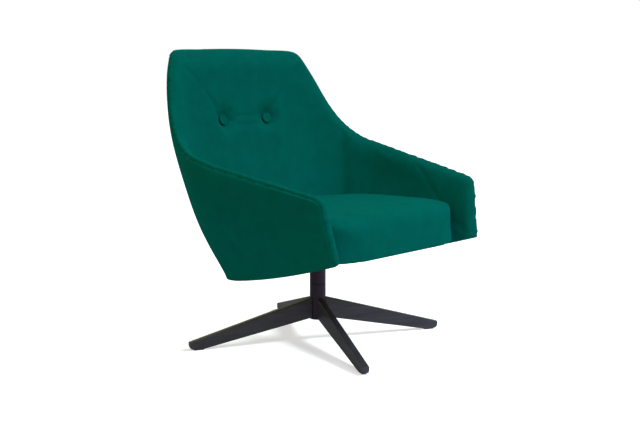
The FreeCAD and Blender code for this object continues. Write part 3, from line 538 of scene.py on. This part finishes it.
# Soft pieces
@dataclass
class Stuffing:
    """How a soft piece is remeshed, evened out and blown up by the cloth simulation."""

    voxel: float = 0.006
    smoothing: int = 5
    shrink: float = 0.6
    swell: float = -0.56
    cloth: dict[str, float] = field(default_factory=lambda: {
        "use_pressure": True, "uniform_pressure_force": 4.0, "quality": 4, "mass": 0.3,
        "tension_stiffness": 20.0, "compression_stiffness": 20.0, "bending_stiffness": 2.0})
    held_below: float = 0.02
    frames: int = 20
    most: float = 0.005

    def remesh(self, piece: Object) -> None:
        """Turn a copied CAD mesh into even quads with rounded corners and unchanged volume."""
        apply_modifier(piece, "REMESH", mode="VOXEL", voxel_size=self.voxel)
        self.even_out(piece, self.smoothing)

    def even_out(self, piece: Object, rounds: int) -> None:
        """Smooth a mesh and swell it back by almost as much, several times.

        Args:
            piece: The piece.
            rounds: How often.
        """
        for _ in range(rounds):
            for factor in (self.shrink, self.swell):
                apply_modifier(piece, "SMOOTH", factor=factor, iterations=1)

    def blow_up(self, piece: Object, freedom: np.ndarray) -> None:
        """Run the cloth under pressure and keep a capped share of its movement.

        Args:
            piece: The remeshed piece.
            freedom: How far each vertex may follow the cloth, 0 to 1.
        """
        rest = points_of(piece)
        held = piece.vertex_groups.new(name="held")
        held.add([int(i) for i in np.nonzero(freedom < self.held_below)[0]], 1.0, "REPLACE")
        make_active(piece)
        cloth = piece.modifiers.new("cloth", "CLOTH")
        for key, value in self.cloth.items():
            setattr(cloth.settings, key, value)
        cloth.settings.vertex_group_mass = "held"
        cloth.settings.effector_weights.gravity = 0.0
        cloth.point_cache.frame_start = 1
        cloth.point_cache.frame_end = self.frames
        for step in range(1, self.frames + 1):
            bpy.context.scene.frame_set(step)
        result = piece.evaluated_get(bpy.context.evaluated_depsgraph_get())
        moved = vectors_of(result.data, "co") - rest
        piece.modifiers.remove(cloth)
        piece.vertex_groups.remove(held)
        bpy.context.scene.frame_set(1)
        length = np.maximum(np.linalg.norm(moved, axis=1), 1e-9)
        share = self.most * np.tanh(length / self.most) / length
        move_points(piece, rest + moved * (share * freedom)[:, None])


@dataclass
class Buttons:
    """Two covered tufting buttons in the back, and how they draw the upholstery in.

    Rises and falls of the pleats and the groove are in button radii from the button's middle.
    """

    radius: float = 0.015
    height: float = 0.007
    sides: int = 48
    tightness: float = 0.99
    rings: tuple[Span, ...] = ((0.0022, 0.0), (0.0016, -0.0002), (0.0016, 0.0010), (0.0030, 0.0013),
                               (0.0030, 0.0006))
    rolled_edge: float = 0.0019
    dimple_reach: float = 0.055
    dimple_front: Span = (-0.04, -0.02)
    pleats: int = 7
    pleat_turn: float = 0.8
    pleat_depth: float = 0.0006
    pleat_rise: Span = (0.9, 1.5)
    pleat_fall: float = 1.6
    groove_depth: float = 0.0030
    groove_rise: Span = (0.7, 1.0)
    groove_fall: Span = (1.1, 1.8)
    swell: float = 0.0022
    swell_reach: Triple = (0.024, 0.046, 0.110)

    def radii(self, span: Span) -> Span:
        """A span of button radii in metres."""
        return self.radius * span[0], self.radius * span[1]

    def pose_of(self, side: Side) -> tuple[Vector, Vector]:
        """Middle and outward direction of one button, read from its CAD node.

        Args:
            side: The button's side.

        Returns:
            Middle point and unit direction towards the sitter.
        """
        spots = points_of(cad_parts["button_" + side.word])
        spots = np.unique(np.round(spots, 6), axis=0)
        middle = (spots.min(0) + spots.max(0)) / 2
        spread = np.linalg.svd(spots - spots.mean(0), full_matrices=False)[2]
        outward = spread[2] if spread[2][1] < 0 else -spread[2]
        return Vector(middle), Vector(outward)

    def build(self, side: Side, felt: Material) -> Object:
        """Model one button: a disc with a rolled rim, a shallow dome and a pressed ring.

        Args:
            side: The button's side.
            felt: Its finish.

        Returns:
            The button, in its place.
        """
        middle, outward = self.pose_of(side)
        deselect()
        bpy.ops.mesh.primitive_cylinder_add(vertices=self.sides, radius=self.radius * self.tightness,
                                            depth=self.height, location=(0, 0, 0))
        button = bpy.context.object
        button.name = "tufting_button_" + side.word
        bpy.ops.object.mode_set(mode="EDIT")
        for inset, lift in self.rings:
            self.select_top()
            bpy.ops.mesh.inset(thickness=inset, depth=lift)
        bpy.ops.object.mode_set(mode="OBJECT")
        bevel(button, self.rolled_edge)
        subdivide(button, 2)
        turn = Vector((0, 0, 1)).rotation_difference(outward).to_matrix().to_4x4()
        button.data.transform(Matrix.Translation(middle) @ turn)
        dress(button, felt)
        return button

    @staticmethod
    def select_top() -> None:
        """Select only the flat face at the top of the piece being edited."""
        bpy.ops.mesh.select_all(action="DESELECT")
        cage = bmesh.from_edit_mesh(bpy.context.object.data)
        cage.faces.ensure_lookup_table()
        top = max(cage.faces, key=lambda face: (round(face.calc_center_median().z, 6) + face.normal.z,
                                                len(face.verts)))
        top.select_set(True)
        bmesh.update_edit_mesh(bpy.context.object.data)

    def press_into(self, pad: Object) -> None:
        """Draw the upholstery in round each button, with soft pleats that fade outwards.

        Args:
            pad: The upholstery.
        """
        spots = points_of(pad)
        start, crest, end = self.swell_reach
        for side in Side:
            middle, outward = (np.array(vector) for vector in self.pose_of(side))
            across = np.cross(outward, (0.0, 0.0, 1.0))
            across /= np.linalg.norm(across)
            upward = np.cross(across, outward)
            reach = spots - middle
            right, high = reach @ across, reach @ upward
            distance = np.hypot(right, high)
            front = smoothstep(*self.dimple_front, reach @ outward)
            ring = plateau(self.radii(self.pleat_rise),
                           (self.radius * self.pleat_fall, self.dimple_reach), distance)
            wave = np.cos(self.pleats * np.arctan2(high, right) + self.pleat_turn * side.value)
            groove = plateau(self.radii(self.groove_rise), self.radii(self.groove_fall), distance)
            swell = plateau((start, crest), (crest, end), distance)
            lift = ring * self.pleat_depth * wave - groove * self.groove_depth + swell * self.swell
            spots += np.outer(front * lift, outward)
        move_points(pad, spots)


@dataclass
class OuterCover:
    """Felt stretched over the outside of the shell, one skin from arm to arm.

    Level rays from outside find the covers' solids at each section: along the arm, round the fan
    centre and across the back.
    """

    fan_x: float = 0.120
    toe_y: float = -0.334
    toe_z: float = 0.294
    lean: float = 0.1925
    near_front: tuple[float, ...] = (0.009, 0.015, 0.024, 0.042, 0.07)
    arm_start: float = 0.12
    arm_sections: int = 20
    fan_sections: int = 44
    back_sections: int = 8
    rows: int = 46
    far: float = 2.0
    margin: float = 0.01
    levels: int = 160
    halvings: int = 12
    hem: float = 0.0002
    drop: float = 0.0060
    roll_in: float = 0.0050
    front_roll: tuple[float, ...] = (0.7, 0.35, 0.1)
    thickness: float = 0.0052
    edge: float = 0.0016
    nodes: tuple[str, ...] = ("outer_cover_left", "outer_cover_right", "outer_cover_back")

    def arm_rays(self) -> list[Ray]:
        """Rays inwards at the arm's sections, which lean forward at the front and stand at y = 0.

        Returns:
            A ray for each section, from the front to the side.
        """
        shares = list(self.near_front)
        shares += [self.arm_start + (1 - self.arm_start) * i / self.arm_sections
                   for i in range(self.arm_sections)]
        return [lambda z, t=share: (
            Vector((self.far, (1 - t) * (self.toe_y + self.lean * (z - self.toe_z)), z)),
            Vector((-1, 0, 0))) for share in shares]

    def fan_rays(self) -> list[Ray]:
        """Rays inwards round the fan centre, from the side to the back."""
        turns = [math.radians(90 * i / self.fan_sections) for i in range(self.fan_sections + 1)]
        return [lambda z, a=turn: (
            Vector((self.fan_x + self.far * math.cos(a), self.far * math.sin(a), z)),
            Vector((-math.cos(a), -math.sin(a), 0))) for turn in turns]

    def back_rays(self) -> list[Ray]:
        """Rays inwards across half the back, up to its middle."""
        places = [self.fan_x * (1 - i / self.back_sections) for i in range(1, self.back_sections + 1)]
        return [lambda z, x=place: (Vector((x, self.far, z)), Vector((0, -1, 0))) for place in places]

    def column(self, tree: BVHTree, ray: Ray, low: float, high: float) -> list[Vector]:
        """Points up one section of the outer surface.

        Args:
            tree: Search tree of the covers' meshes.
            ray: Ray at a height.
            low: Height below the hem.
            high: Height above the crown.

        Returns:
            Points from the hem to just under the upper edge.
        """
        def hit(z: float) -> Vector | None:
            """Where the ray at a height meets the covers."""
            start, along = ray(z)
            return tree.ray_cast(start, along)[0]

        heights = [low + (high - low) * i / self.levels for i in range(self.levels + 1)]
        found = [z for z in heights if hit(z) is not None]
        step = (high - low) / self.levels
        ends = []
        for inside, outside in ((found[0], found[0] - step), (found[-1], found[-1] + step)):
            for _ in range(self.halvings):
                middle = (inside + outside) / 2
                inside, outside = (middle, outside) if hit(middle) is not None else (inside, middle)
            ends.append(inside)
        foot, head = ends[0] + self.hem, ends[1] - self.drop
        return [hit(foot + (head - foot) * i / self.rows) for i in range(self.rows + 1)]

    def build(self, felt: Material) -> Object:
        """Lay a grid on the covers' outer surface and give it a thickness and a turned edge.

        Args:
            felt: The cover's finish.

        Returns:
            The cover.
        """
        grid = self.grid()
        deselect()
        bpy.ops.mesh.primitive_grid_add(x_subdivisions=self.rows, y_subdivisions=len(grid) - 1, size=1)
        cover = bpy.context.object
        cover.name = "outer_cover"
        move_points(cover, grid.reshape(-1, 3))
        make_active(cover)
        bpy.ops.object.mode_set(mode="EDIT")
        bpy.ops.mesh.select_all(action="SELECT")
        if self.faces_inwards(cover):
            bpy.ops.mesh.flip_normals()
        bpy.ops.object.mode_set(mode="OBJECT")
        apply_modifier(cover, "SOLIDIFY", thickness=self.thickness, offset=-1.0)
        bevel(cover, self.edge)
        subdivide(cover)
        dress(cover, felt)
        return cover

    def grid(self) -> np.ndarray:
        """Points of the whole cover, with its upper and front edges rolled in.

        Returns:
            An array of sections, each with its points from the hem up.
        """
        tree = tree_of_nodes(self.nodes)
        low, high = (corner.z for corner in self.bounds())
        rays = self.arm_rays() + self.fan_rays() + self.back_rays()
        columns = [self.column(tree, ray, low - self.margin, high + self.margin) for ray in rays]
        half = np.array([[tuple(point) for point in column] for column in columns])
        inwards = np.array([tuple(ray(low)[1]) for ray in rays]) * self.roll_in
        half[:, -1] += inwards
        for i, share in enumerate(self.front_roll):
            half[i, :-1] += inwards[i] * share
        mirror = half[:-1] * np.array((-1.0, 1.0, 1.0))
        return self.relax(np.concatenate([mirror, half[::-1]]))

    def bounds(self) -> tuple[Vector, Vector]:
        """Lowest and highest corners of the covers together."""
        boxes = [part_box(node) for node in self.nodes]
        return (Vector(min(box[0][i] for box in boxes) for i in range(3)),
                Vector(max(box[1][i] for box in boxes) for i in range(3)))

    @staticmethod
    def faces_inwards(cover: Object) -> bool:
        """Whether the cover's back, in edit mode, has its normals forward.

        Args:
            cover: The cover.

        Returns:
            True where it does.
        """
        cage = bmesh.from_edit_mesh(cover.data)
        rear = max(cage.faces, key=lambda face: face.calc_center_median().y)
        return rear.normal.y < 0

    @staticmethod
    def relax(grid: np.ndarray, rounds: int = 3, share: float = 0.5) -> np.ndarray:
        """Even out the grid's points from section to section without moving its edges.

        Args:
            grid: Sections with their points.
            rounds: How often.
            share: How far a point moves to the middle of its neighbours.

        Returns:
            The grid.
        """
        for _ in range(rounds):
            middle = grid[1:-1, 1:-1]
            along = (grid[:-2, 1:-1] + grid[2:, 1:-1]) / 2
            grid[1:-1, 1:-1] = middle + share * (along - middle)
        return grid


@dataclass
class InnerUpholstery:
    """Padded skin inside the shell, one piece over both arms and the back.

    Spans called facing say how much a vertex faces the sitter, from -1 to 1, and spans called
    underside how much it faces down.
    """

    stuffing: Stuffing = field(default_factory=lambda: Stuffing(smoothing=10, most=0.004))
    evening: int = 10
    settling: int = 2
    middle: Triple = (0.0, -0.10, 0.55)
    height_share: float = 0.3
    fan_x: float = 0.120
    rim_facing: float = 0.15
    rim_lowest: float = -0.3
    free_facing: Span = (0.5, 0.9)
    free_underside: Span = (0.3, 0.7)
    free_from_button: float = 1.2
    free_rounds: int = 6
    comb_reach: Span = (0.012, 0.026)
    comb_fade: int = 3
    comb_rounds: int = 9
    comb_swell: float = 0.0018
    tuck: float = 0.0072
    tuck_facing: Span = (0.1, 0.5)
    tuck_underside: Span = (0.1, 0.5)
    tuck_reach: Span = (0.009, 0.016)
    tuck_depth: Span = (0.010, 0.024)
    tuck_kept: float = 0.55
    tuck_rounds: int = 5
    pillow_depth: float = 0.009
    pillow_width: float = 0.055
    pillow_facing: Span = (-0.1, 0.5)
    pillow_rise: float = 0.04
    pillow_rounds: int = 5
    crease_depth: float = 0.0080
    crease_width: float = 0.022
    crease_foot: float = 0.40
    crease_head: float = 0.60
    crease_facing: Span = (0.2, 0.6)
    crease_across: Span = (0.02, 0.08)
    nodes: tuple[str, ...] = ("arm_pad_left", "back_pad", "arm_pad_right")

    def towards_sitter(self, piece: Object) -> np.ndarray:
        """How much each vertex faces the sitter.

        Args:
            piece: The skin.

        Returns:
            A value per vertex, -1 to 1.
        """
        towards = np.array(self.middle) - points_of(piece)
        towards[:, 2] *= self.height_share
        towards /= np.linalg.norm(towards, axis=1)[:, None]
        return (normals_of(piece) * towards).sum(1)

    def freedom(self, piece: Object, buttons: Buttons) -> np.ndarray:
        """How far each vertex may swell: the faces towards the sitter may, the tufts may not.

        Args:
            piece: The skin.
            buttons: The buttons that hold it.

        Returns:
            A value per vertex, 0 to 1.
        """
        free = smoothstep(*self.free_facing, self.towards_sitter(piece))
        free *= 1 - smoothstep(*self.free_underside, -normals_of(piece)[:, 2])
        for side in Side:
            distance = np.linalg.norm(points_of(piece) - np.array(buttons.pose_of(side)[0]), axis=1)
            free *= smoothstep(buttons.radius * self.free_from_button, buttons.dimple_reach, distance)
        return soften(piece, free, self.free_rounds)

    def fill_out(self, piece: Object) -> None:
        """Push the faces beside the outer cover out into it, so that the rolled edge closes the seam.

        Args:
            piece: The skin.
        """
        tree = tree_of_nodes(OuterCover.nodes)
        spots = points_of(piece)
        away = smoothstep(*self.tuck_facing, -self.towards_sitter(piece))
        away *= 1 - smoothstep(*self.tuck_underside, -normals_of(piece)[:, 2])
        for i in np.nonzero(away > 0)[0]:
            away[i] *= 1 - smoothstep(*self.tuck_reach, tree.find_nearest(Vector(spots[i]))[3])
        away *= 1 - (1 - self.tuck_kept) * smoothstep(*self.tuck_depth, self.from_rim(piece))
        away = soften(piece, away, self.tuck_rounds)
        move_points(piece, spots + normals_of(piece) * (self.tuck * away)[:, None])

    def from_rim(self, piece: Object) -> np.ndarray:
        """Distance of each vertex from the rim's crest.

        Args:
            piece: The skin.

        Returns:
            A distance per vertex.
        """
        spots = points_of(piece)
        rim = np.nonzero((np.abs(self.towards_sitter(piece)) < self.rim_facing)
                         & (normals_of(piece)[:, 2] > self.rim_lowest))[0]
        tree = KDTree(len(rim))
        for i in rim:
            tree.insert(Vector(spots[i]), int(i))
        tree.balance()
        return np.array([tree.find(Vector(spot))[2] for spot in spots])

    def comb_rim(self, piece: Object) -> None:
        """Even out the steps that remeshing leaves along the slanting rim.

        Args:
            piece: The skin.
        """
        near = 1 - smoothstep(*self.comb_reach, self.from_rim(piece))
        share = soften(piece, near, self.comb_fade)
        spots = points_of(piece)
        even = np.stack([soften(piece, spots[:, i], self.comb_rounds) for i in range(3)], axis=1)
        even += normals_of(piece) * self.comb_swell
        move_points(piece, spots + (even - spots) * share[:, None])

    def round_off(self, piece: Object) -> None:
        """Let the padding thin out softly towards its rim, as a pillow does.

        Args:
            piece: The skin.
        """
        spots, towards, near = points_of(piece), self.towards_sitter(piece), self.from_rim(piece)
        share = smoothstep(*self.pillow_facing, towards)
        share *= 1 - smoothstep(0.0, self.pillow_width, near)
        share *= smoothstep(self.crease_foot, self.crease_foot + self.pillow_rise, spots[:, 2])
        outwards = spots - np.array(self.middle)
        outwards[:, 2] = 0.0
        outwards /= np.linalg.norm(outwards, axis=1)[:, None]
        depth = self.pillow_depth * soften(piece, share, self.pillow_rounds)
        move_points(piece, spots + outwards * depth[:, None])

    def crease(self, piece: Object) -> None:
        """Draw the skin in softly where each arm runs into the back.

        Args:
            piece: The skin.
        """
        spots = points_of(piece)
        facing = smoothstep(*self.crease_facing, self.towards_sitter(piece))
        for side in Side:
            across = side.value * spots[:, 0] - self.fan_x
            off = (across - spots[:, 1]) / math.sqrt(2)
            inside = smoothstep(*self.crease_across, across) * facing
            height = smoothstep(self.crease_head, self.crease_foot, spots[:, 2])
            depth = self.crease_depth * np.exp(-(off / self.crease_width) ** 2) * inside * height
            spots -= normals_of(piece) * depth[:, None]
        move_points(piece, spots)

    def build(self, buttons: Buttons, felt: Material) -> Object:
        """Make the skin with its creases and tufts.

        Args:
            buttons: The buttons that hold it.
            felt: Its finish.

        Returns:
            The skin.
        """
        skin = copy_of_nodes("inner_upholstery", self.nodes)
        self.stuffing.remesh(skin)
        self.comb_rim(skin)
        self.fill_out(skin)
        self.round_off(skin)
        self.stuffing.even_out(skin, self.evening)
        self.stuffing.blow_up(skin, self.freedom(skin, buttons))
        self.stuffing.even_out(skin, self.settling)
        subdivide(skin)
        self.crease(skin)
        buttons.press_into(skin)
        dress(skin, felt)
        return skin


@dataclass
class FrontBorder:
    """Padded border under the front of the cushion."""

    rounding: float = 0.0025

    def build(self, felt: Material) -> Object:
        """Make the border with soft corners.

        Args:
            felt: Its finish.

        Returns:
            The border.
        """
        border = copy_of_nodes("lower_border", ["front_border"])
        bevel(border, self.rounding)
        shade_smooth(border)
        dress(border, felt)
        return border


@dataclass
class SeatCushion:
    """Loose-looking seat cushion, crowned on top and rounded down over the front."""

    stuffing: Stuffing = field(default_factory=lambda: Stuffing(voxel=0.0065, smoothing=8, most=0.0025))
    settling: int = 3
    front_y: float = -0.317
    foot_z: float = 0.284
    free_underside: Span = (0.1, 0.6)
    free_above_foot: Span = (0.01, 0.07)
    free_rounds: int = 4
    draw: float = 0.014
    draw_across: Span = (0.14, 0.24)
    draw_behind_front: Span = (0.03, 0.16)
    draw_above_foot: Span = (0.01, 0.10)

    def build(self, felt: Material) -> Object:
        """Make the cushion.

        Args:
            felt: Its finish.

        Returns:
            The cushion.
        """
        cushion = copy_of_nodes("cushion", ["seat_cushion"])
        self.stuffing.remesh(cushion)
        free = 1 - smoothstep(*self.free_underside, -normals_of(cushion)[:, 2])
        free *= smoothstep(*shifted(self.free_above_foot, self.foot_z), points_of(cushion)[:, 2])
        self.stuffing.blow_up(cushion, soften(cushion, free, self.free_rounds))
        self.stuffing.even_out(cushion, self.settling)
        self.draw_in(cushion)
        subdivide(cushion)
        dress(cushion, felt)
        return cushion

    def draw_in(self, cushion: Object) -> None:
        """Draw the front's lower corners in, where the cover is pulled down to the border.

        Args:
            cushion: The cushion.
        """
        spots = points_of(cushion)
        across, along, up = spots.T
        share = smoothstep(*self.draw_across, np.abs(across))
        share *= 1 - smoothstep(*shifted(self.draw_behind_front, self.front_y), along)
        share *= 1 - smoothstep(*shifted(self.draw_above_foot, self.foot_z), up)
        spots[:, 0] -= np.sign(across) * self.draw * share
        move_points(cushion, spots)


# Studio
@dataclass(frozen=True)
class Lamp:
    """A soft square lamp that faces the chair."""

    name: str
    place: Triple
    side: float
    watts: float
    colour: Colour

    def light(self, target: Vector) -> Object:
        """Hang the lamp and aim it.

        Args:
            target: Point that it faces.

        Returns:
            The lamp's object.
        """
        data = bpy.data.lights.new(self.name, "AREA")
        data.shape = "SQUARE"
        data.size = self.side
        data.energy = self.watts
        data.color = self.colour
        lamp = bpy.data.objects.new(self.name, data)
        lamp.location = self.place
        lamp.rotation_euler = (target - Vector(self.place)).to_track_quat("-Z", "Y").to_euler()
        bpy.context.scene.collection.objects.link(lamp)
        return lamp


@dataclass
class Studio:
    """Pale floor, white surroundings, soft lamps and the camera of the photograph."""

    camera_place: Triple = (-2.0595, -1.9501, 0.7714)
    target: Triple = (0.0044, -0.0046, 0.3592)
    focal_length: float = 57.96
    floor_size: float = 30.0
    floor_seen: Colour = (0.52, 0.57, 0.42)
    floor_bounce: Colour = (0.31, 0.31, 0.31)
    floor_glow: Colour = (1.0, 0.955, 1.05)
    lifted: Span = (0.56, 1.0)
    shadow_reach: Span = (0.5, 1.2)
    ambient: float = 0.46
    ambient_colour: Colour = (1.0, 1.0, 0.54)
    lamps: tuple[Lamp, ...] = (
        Lamp("side", (1.057, -2.521, 2.113), 1.6, 13.3, (1.0, 1.0, 1.5)),
        Lamp("front", (-0.241, -2.056, 2.890), 1.6, 22.8, (1.0, 1.0, 1.5)),
        Lamp("top", (0.0, 0.0, 3.65), 1.6, 14.1, (1.0, 1.0, 1.5)),
    )
    low_lamp: Lamp = Lamp("low", (1.32, -1.40, 2.30), 0.8, 102.0, (0.92, 1.0, 1.35))
    casting: tuple[str, ...] = ("leg_front", "leg_rear", "glide", "hub_tube", "swivel_column")

    def floor_material(self) -> Material:
        """Pale floor that keeps its shadows.

        The camera sees it lifted towards white, the more the further from the chair, while the
        chair gets a darker bounce from it.

        Returns:
            The material.
        """
        graph = Graph("studio_floor")
        pale = graph.add("ShaderNodeBsdfDiffuse", Color=(*self.floor_seen, 1))
        bounce = graph.add("ShaderNodeBsdfDiffuse", Color=(*self.floor_bounce, 1))
        glow = graph.add("ShaderNodeEmission", Color=(*self.floor_glow, 1))
        path = graph.add("ShaderNodeLightPath")
        distance = graph.add("ShaderNodeVectorMath", operation="LENGTH")
        lift = graph.add("ShaderNodeMapRange", From_Min=self.shadow_reach[0],
                         From_Max=self.shadow_reach[1], To_Min=self.lifted[0], To_Max=self.lifted[1])
        scale = graph.add("ShaderNodeMath", operation="MULTIPLY")
        total = graph.add("ShaderNodeAddShader")
        mix = graph.add("ShaderNodeMixShader")
        graph.wire((graph.place, "Object", distance, 0), (distance, "Value", lift, "Value"),
                   (path, "Is Camera Ray", scale, 0), (lift, "Result", scale, 1),
                   (scale, "Value", glow, "Strength"), (pale, "BSDF", total, 0),
                   (glow, "Emission", total, 1), (path, "Is Camera Ray", mix, "Fac"),
                   (bounce, "BSDF", mix, 1), (total, "Shader", mix, 2),
                   (mix, "Shader", graph.output, "Surface"))
        return graph.holder

    def lay_floor(self) -> Object:
        """Lay the floor under the glides' feet.

        Returns:
            The floor.
        """
        deselect()
        bpy.ops.mesh.primitive_plane_add(size=self.floor_size, location=(0, 0, 0))
        floor = bpy.context.object
        floor.name = "studio_floor"
        dress(floor, self.floor_material())
        return floor

    def light_floor(self, floor: Object) -> None:
        """Light the floor alone from the right, with the shadow of the base alone.

        Args:
            floor: The floor.
        """
        lamp = self.low_lamp.light(Vector((0.0, 0.0, 0.0)))
        lit = bpy.data.collections.new("lit_by_low_lamp")
        lit.objects.link(floor)
        blocking = bpy.data.collections.new("blocks_low_lamp")
        for name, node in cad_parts.items():
            if name.startswith(self.casting):
                blocking.objects.link(node)
        lamp.light_linking.receiver_collection = lit
        lamp.light_linking.blocker_collection = blocking

    def light_world(self) -> None:
        """Even light from all round, seen as plain white."""
        graph = Graph("studio", world=True)
        bpy.context.scene.world = graph.holder
        ambient = graph.add("ShaderNodeBackground", Color=(*self.ambient_colour, 1),
                            Strength=self.ambient)
        white = graph.add("ShaderNodeBackground", Color=(1, 1, 1, 1))
        path = graph.add("ShaderNodeLightPath")
        mix = graph.add("ShaderNodeMixShader")
        graph.wire((path, "Is Camera Ray", mix, "Fac"), (ambient, "Background", mix, 1),
                   (white, "Background", mix, 2), (mix, "Shader", graph.output, "Surface"))

    def place_camera(self) -> None:
        """Set the camera at the photograph's place."""
        data = bpy.data.cameras.new("camera")
        data.lens = self.focal_length
        camera = bpy.data.objects.new("camera", data)
        camera.location = self.camera_place
        aim = Vector(self.target) - Vector(self.camera_place)
        camera.rotation_euler = aim.to_track_quat("-Z", "Y").to_euler()
        bpy.context.scene.collection.objects.link(camera)
        bpy.context.scene.camera = camera

    def build(self) -> None:
        """Set up floor, lamps, world and camera."""
        bpy.context.scene.view_settings.view_transform = "Standard"
        self.place_camera()
        self.light_floor(self.lay_floor())
        self.light_world()
        for lamp in self.lamps:
            lamp.light(Vector(self.target))


# Hard pieces
@dataclass
class HardPieces:
    """CAD nodes that stay as they are and get their finishes."""

    leg_turn: float = math.radians(-27.5)
    stain_dark: Colour = (0.020, 0.019, 0.027)
    stain_light: Colour = (0.080, 0.077, 0.108)

    def build(self) -> None:
        """Dress every CAD node that stays. Legs that face each other share a grain direction."""
        legs = [Timber("stained_oak_" + str(i), self.stain_dark, self.stain_light,
                       turn=self.leg_turn + math.pi / 2 * i, roughness=0.5, coat=0.25).build()
                for i in range(2)]
        for i, place in enumerate(CORNERS):
            dress(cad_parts["leg_" + place], legs[i % 2])
        for finish, nodes in self.finishes():
            material = finish.build()
            for node in nodes:
                dress(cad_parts[node], material)

    @staticmethod
    def finishes() -> list[tuple[Metal | Timber | WovenCloth, list[str]]]:
        """Finishes of all nodes but the legs.

        Returns:
            Each finish with the nodes that take it.
        """
        glides = ["glide_" + place for place in CORNERS]
        return [
            (Metal("column_coating", (0.025, 0.014, 0.030), (0.041, 0.024, 0.046), 0.36, 0.5),
             ["hub_tube", "swivel_column"]),
            (Metal("zinc_plate", (0.48, 0.49, 0.50), (0.66, 0.67, 0.68), 0.35),
             ["leg_bolts", "leg_nuts", "plate_bolts", "tee_nuts", "board_screws", "panel_screws",
              "retaining_ring"]),
            (Metal("ground_steel", (0.5, 0.51, 0.52), (0.62, 0.63, 0.64), 0.22), ["spindle"]),
            (Metal("bush_bronze", (0.36, 0.22, 0.08), (0.52, 0.34, 0.14), 0.35),
             ["lower_bush", "upper_bush"]),
            (Metal("plate_coating", (0.015, 0.015, 0.015), (0.03, 0.03, 0.03), 0.5, 0.2),
             ["mounting_plate"]),
            (Moulded("black_plastic", (0.012, 0.012, 0.012), (0.022, 0.022, 0.022)),
             glides + ["hub_end_cap", "button_toggles"]),
            (Moulded("joint_plastic", (0.002, 0.002, 0.002), (0.004, 0.004, 0.004), 0.9),
             ["thrust_washer"]),
            (Timber("raw_plywood", (0.42, 0.26, 0.13), (0.66, 0.46, 0.27), roughness=0.7),
             ["seat_board"]),
            (Timber("stained_plywood", (0.008, 0.012, 0.011), (0.020, 0.026, 0.024), roughness=0.7),
             ["shell_panel_left", "shell_panel_right", "shell_panel_back"]),
            (Timber("raw_beech", (0.44, 0.25, 0.13), (0.62, 0.40, 0.23), roughness=0.65),
             ["wedge_block_left", "wedge_block_right", "side_rail_left", "side_rail_right",
              "front_rail", "rear_rail"]),
            (WovenCloth("waxed_twine", (0.02, 0.06, 0.05), (0.05, 0.12, 0.10)), ["button_ties"]),
        ]


@dataclass
class BottomCloth:
    """Black cloth stretched under the seat frame, with turned edges."""

    flat: Span = (0.508, 0.360)
    area: float = 0.155
    held_by: tuple[str, ...] = ("side_rail_left", "side_rail_right", "front_rail", "rear_rail")
    rounding: float = 0.0005

    def build(self) -> Object:
        """Copy the cloth's solid and round its turned edges.

        Returns:
            The cloth.
        """
        cloth = copy_of_nodes("underside_cloth", ["bottom_cloth"])
        bevel(cloth, self.rounding, 2)
        finish = WovenCloth("underside_fleece", (0.010, 0.010, 0.010), (0.024, 0.024, 0.024))
        dress(cloth, finish.build())
        return cloth


@dataclass
class Chair:
    """The whole chair: hard pieces dressed, soft pieces made in place of their solids."""

    skin: InnerUpholstery = field(default_factory=InnerUpholstery)
    border: FrontBorder = field(default_factory=FrontBorder)
    cushion: SeatCushion = field(default_factory=SeatCushion)
    cover: OuterCover = field(default_factory=OuterCover)
    buttons: Buttons = field(default_factory=Buttons)
    hard: HardPieces = field(default_factory=HardPieces)
    underside: BottomCloth = field(default_factory=BottomCloth)

    @staticmethod
    def settle(piece: Object, nodes: Sequence[str], fill: float | None, slot: str = "felt") -> None:
        """Hang a piece on the seat's body, hide the CAD nodes that it replaces, and report it.

        Args:
            piece: The finished piece.
            nodes: CAD nodes that it stands for.
            fill: How full it is, for a padded piece. Not used.
            slot: Name of the material slot for its finish. Not used.
        """
        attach(piece, "seat")
        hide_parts(*nodes)
        log.info("%s stands for %s", piece.name, ", ".join(nodes))

    def build(self) -> None:
        """Build and place everything."""
        felt = Felt().build()
        self.hard.build()
        self.settle(self.cover.build(felt), self.cover.nodes, 1.0)
        self.settle(self.skin.build(self.buttons, felt), self.skin.nodes, 0.9)
        self.settle(self.border.build(felt), ["front_border"], 1.0)
        self.settle(self.cushion.build(felt), ["seat_cushion"], 0.85)
        for side in Side:
            self.settle(self.buttons.build(side, felt), ["button_" + side.word], 1.0)
        self.settle(self.underside.build(), ["bottom_cloth"], None, "cloth_black")


def main() -> None:
    """Build the studio and the chair."""
    logging.basicConfig(level=logging.INFO, format="%(name)s: %(message)s")
    Studio().build()
    Chair().build()
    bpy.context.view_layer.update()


if __name__ == "__main__":
    main()
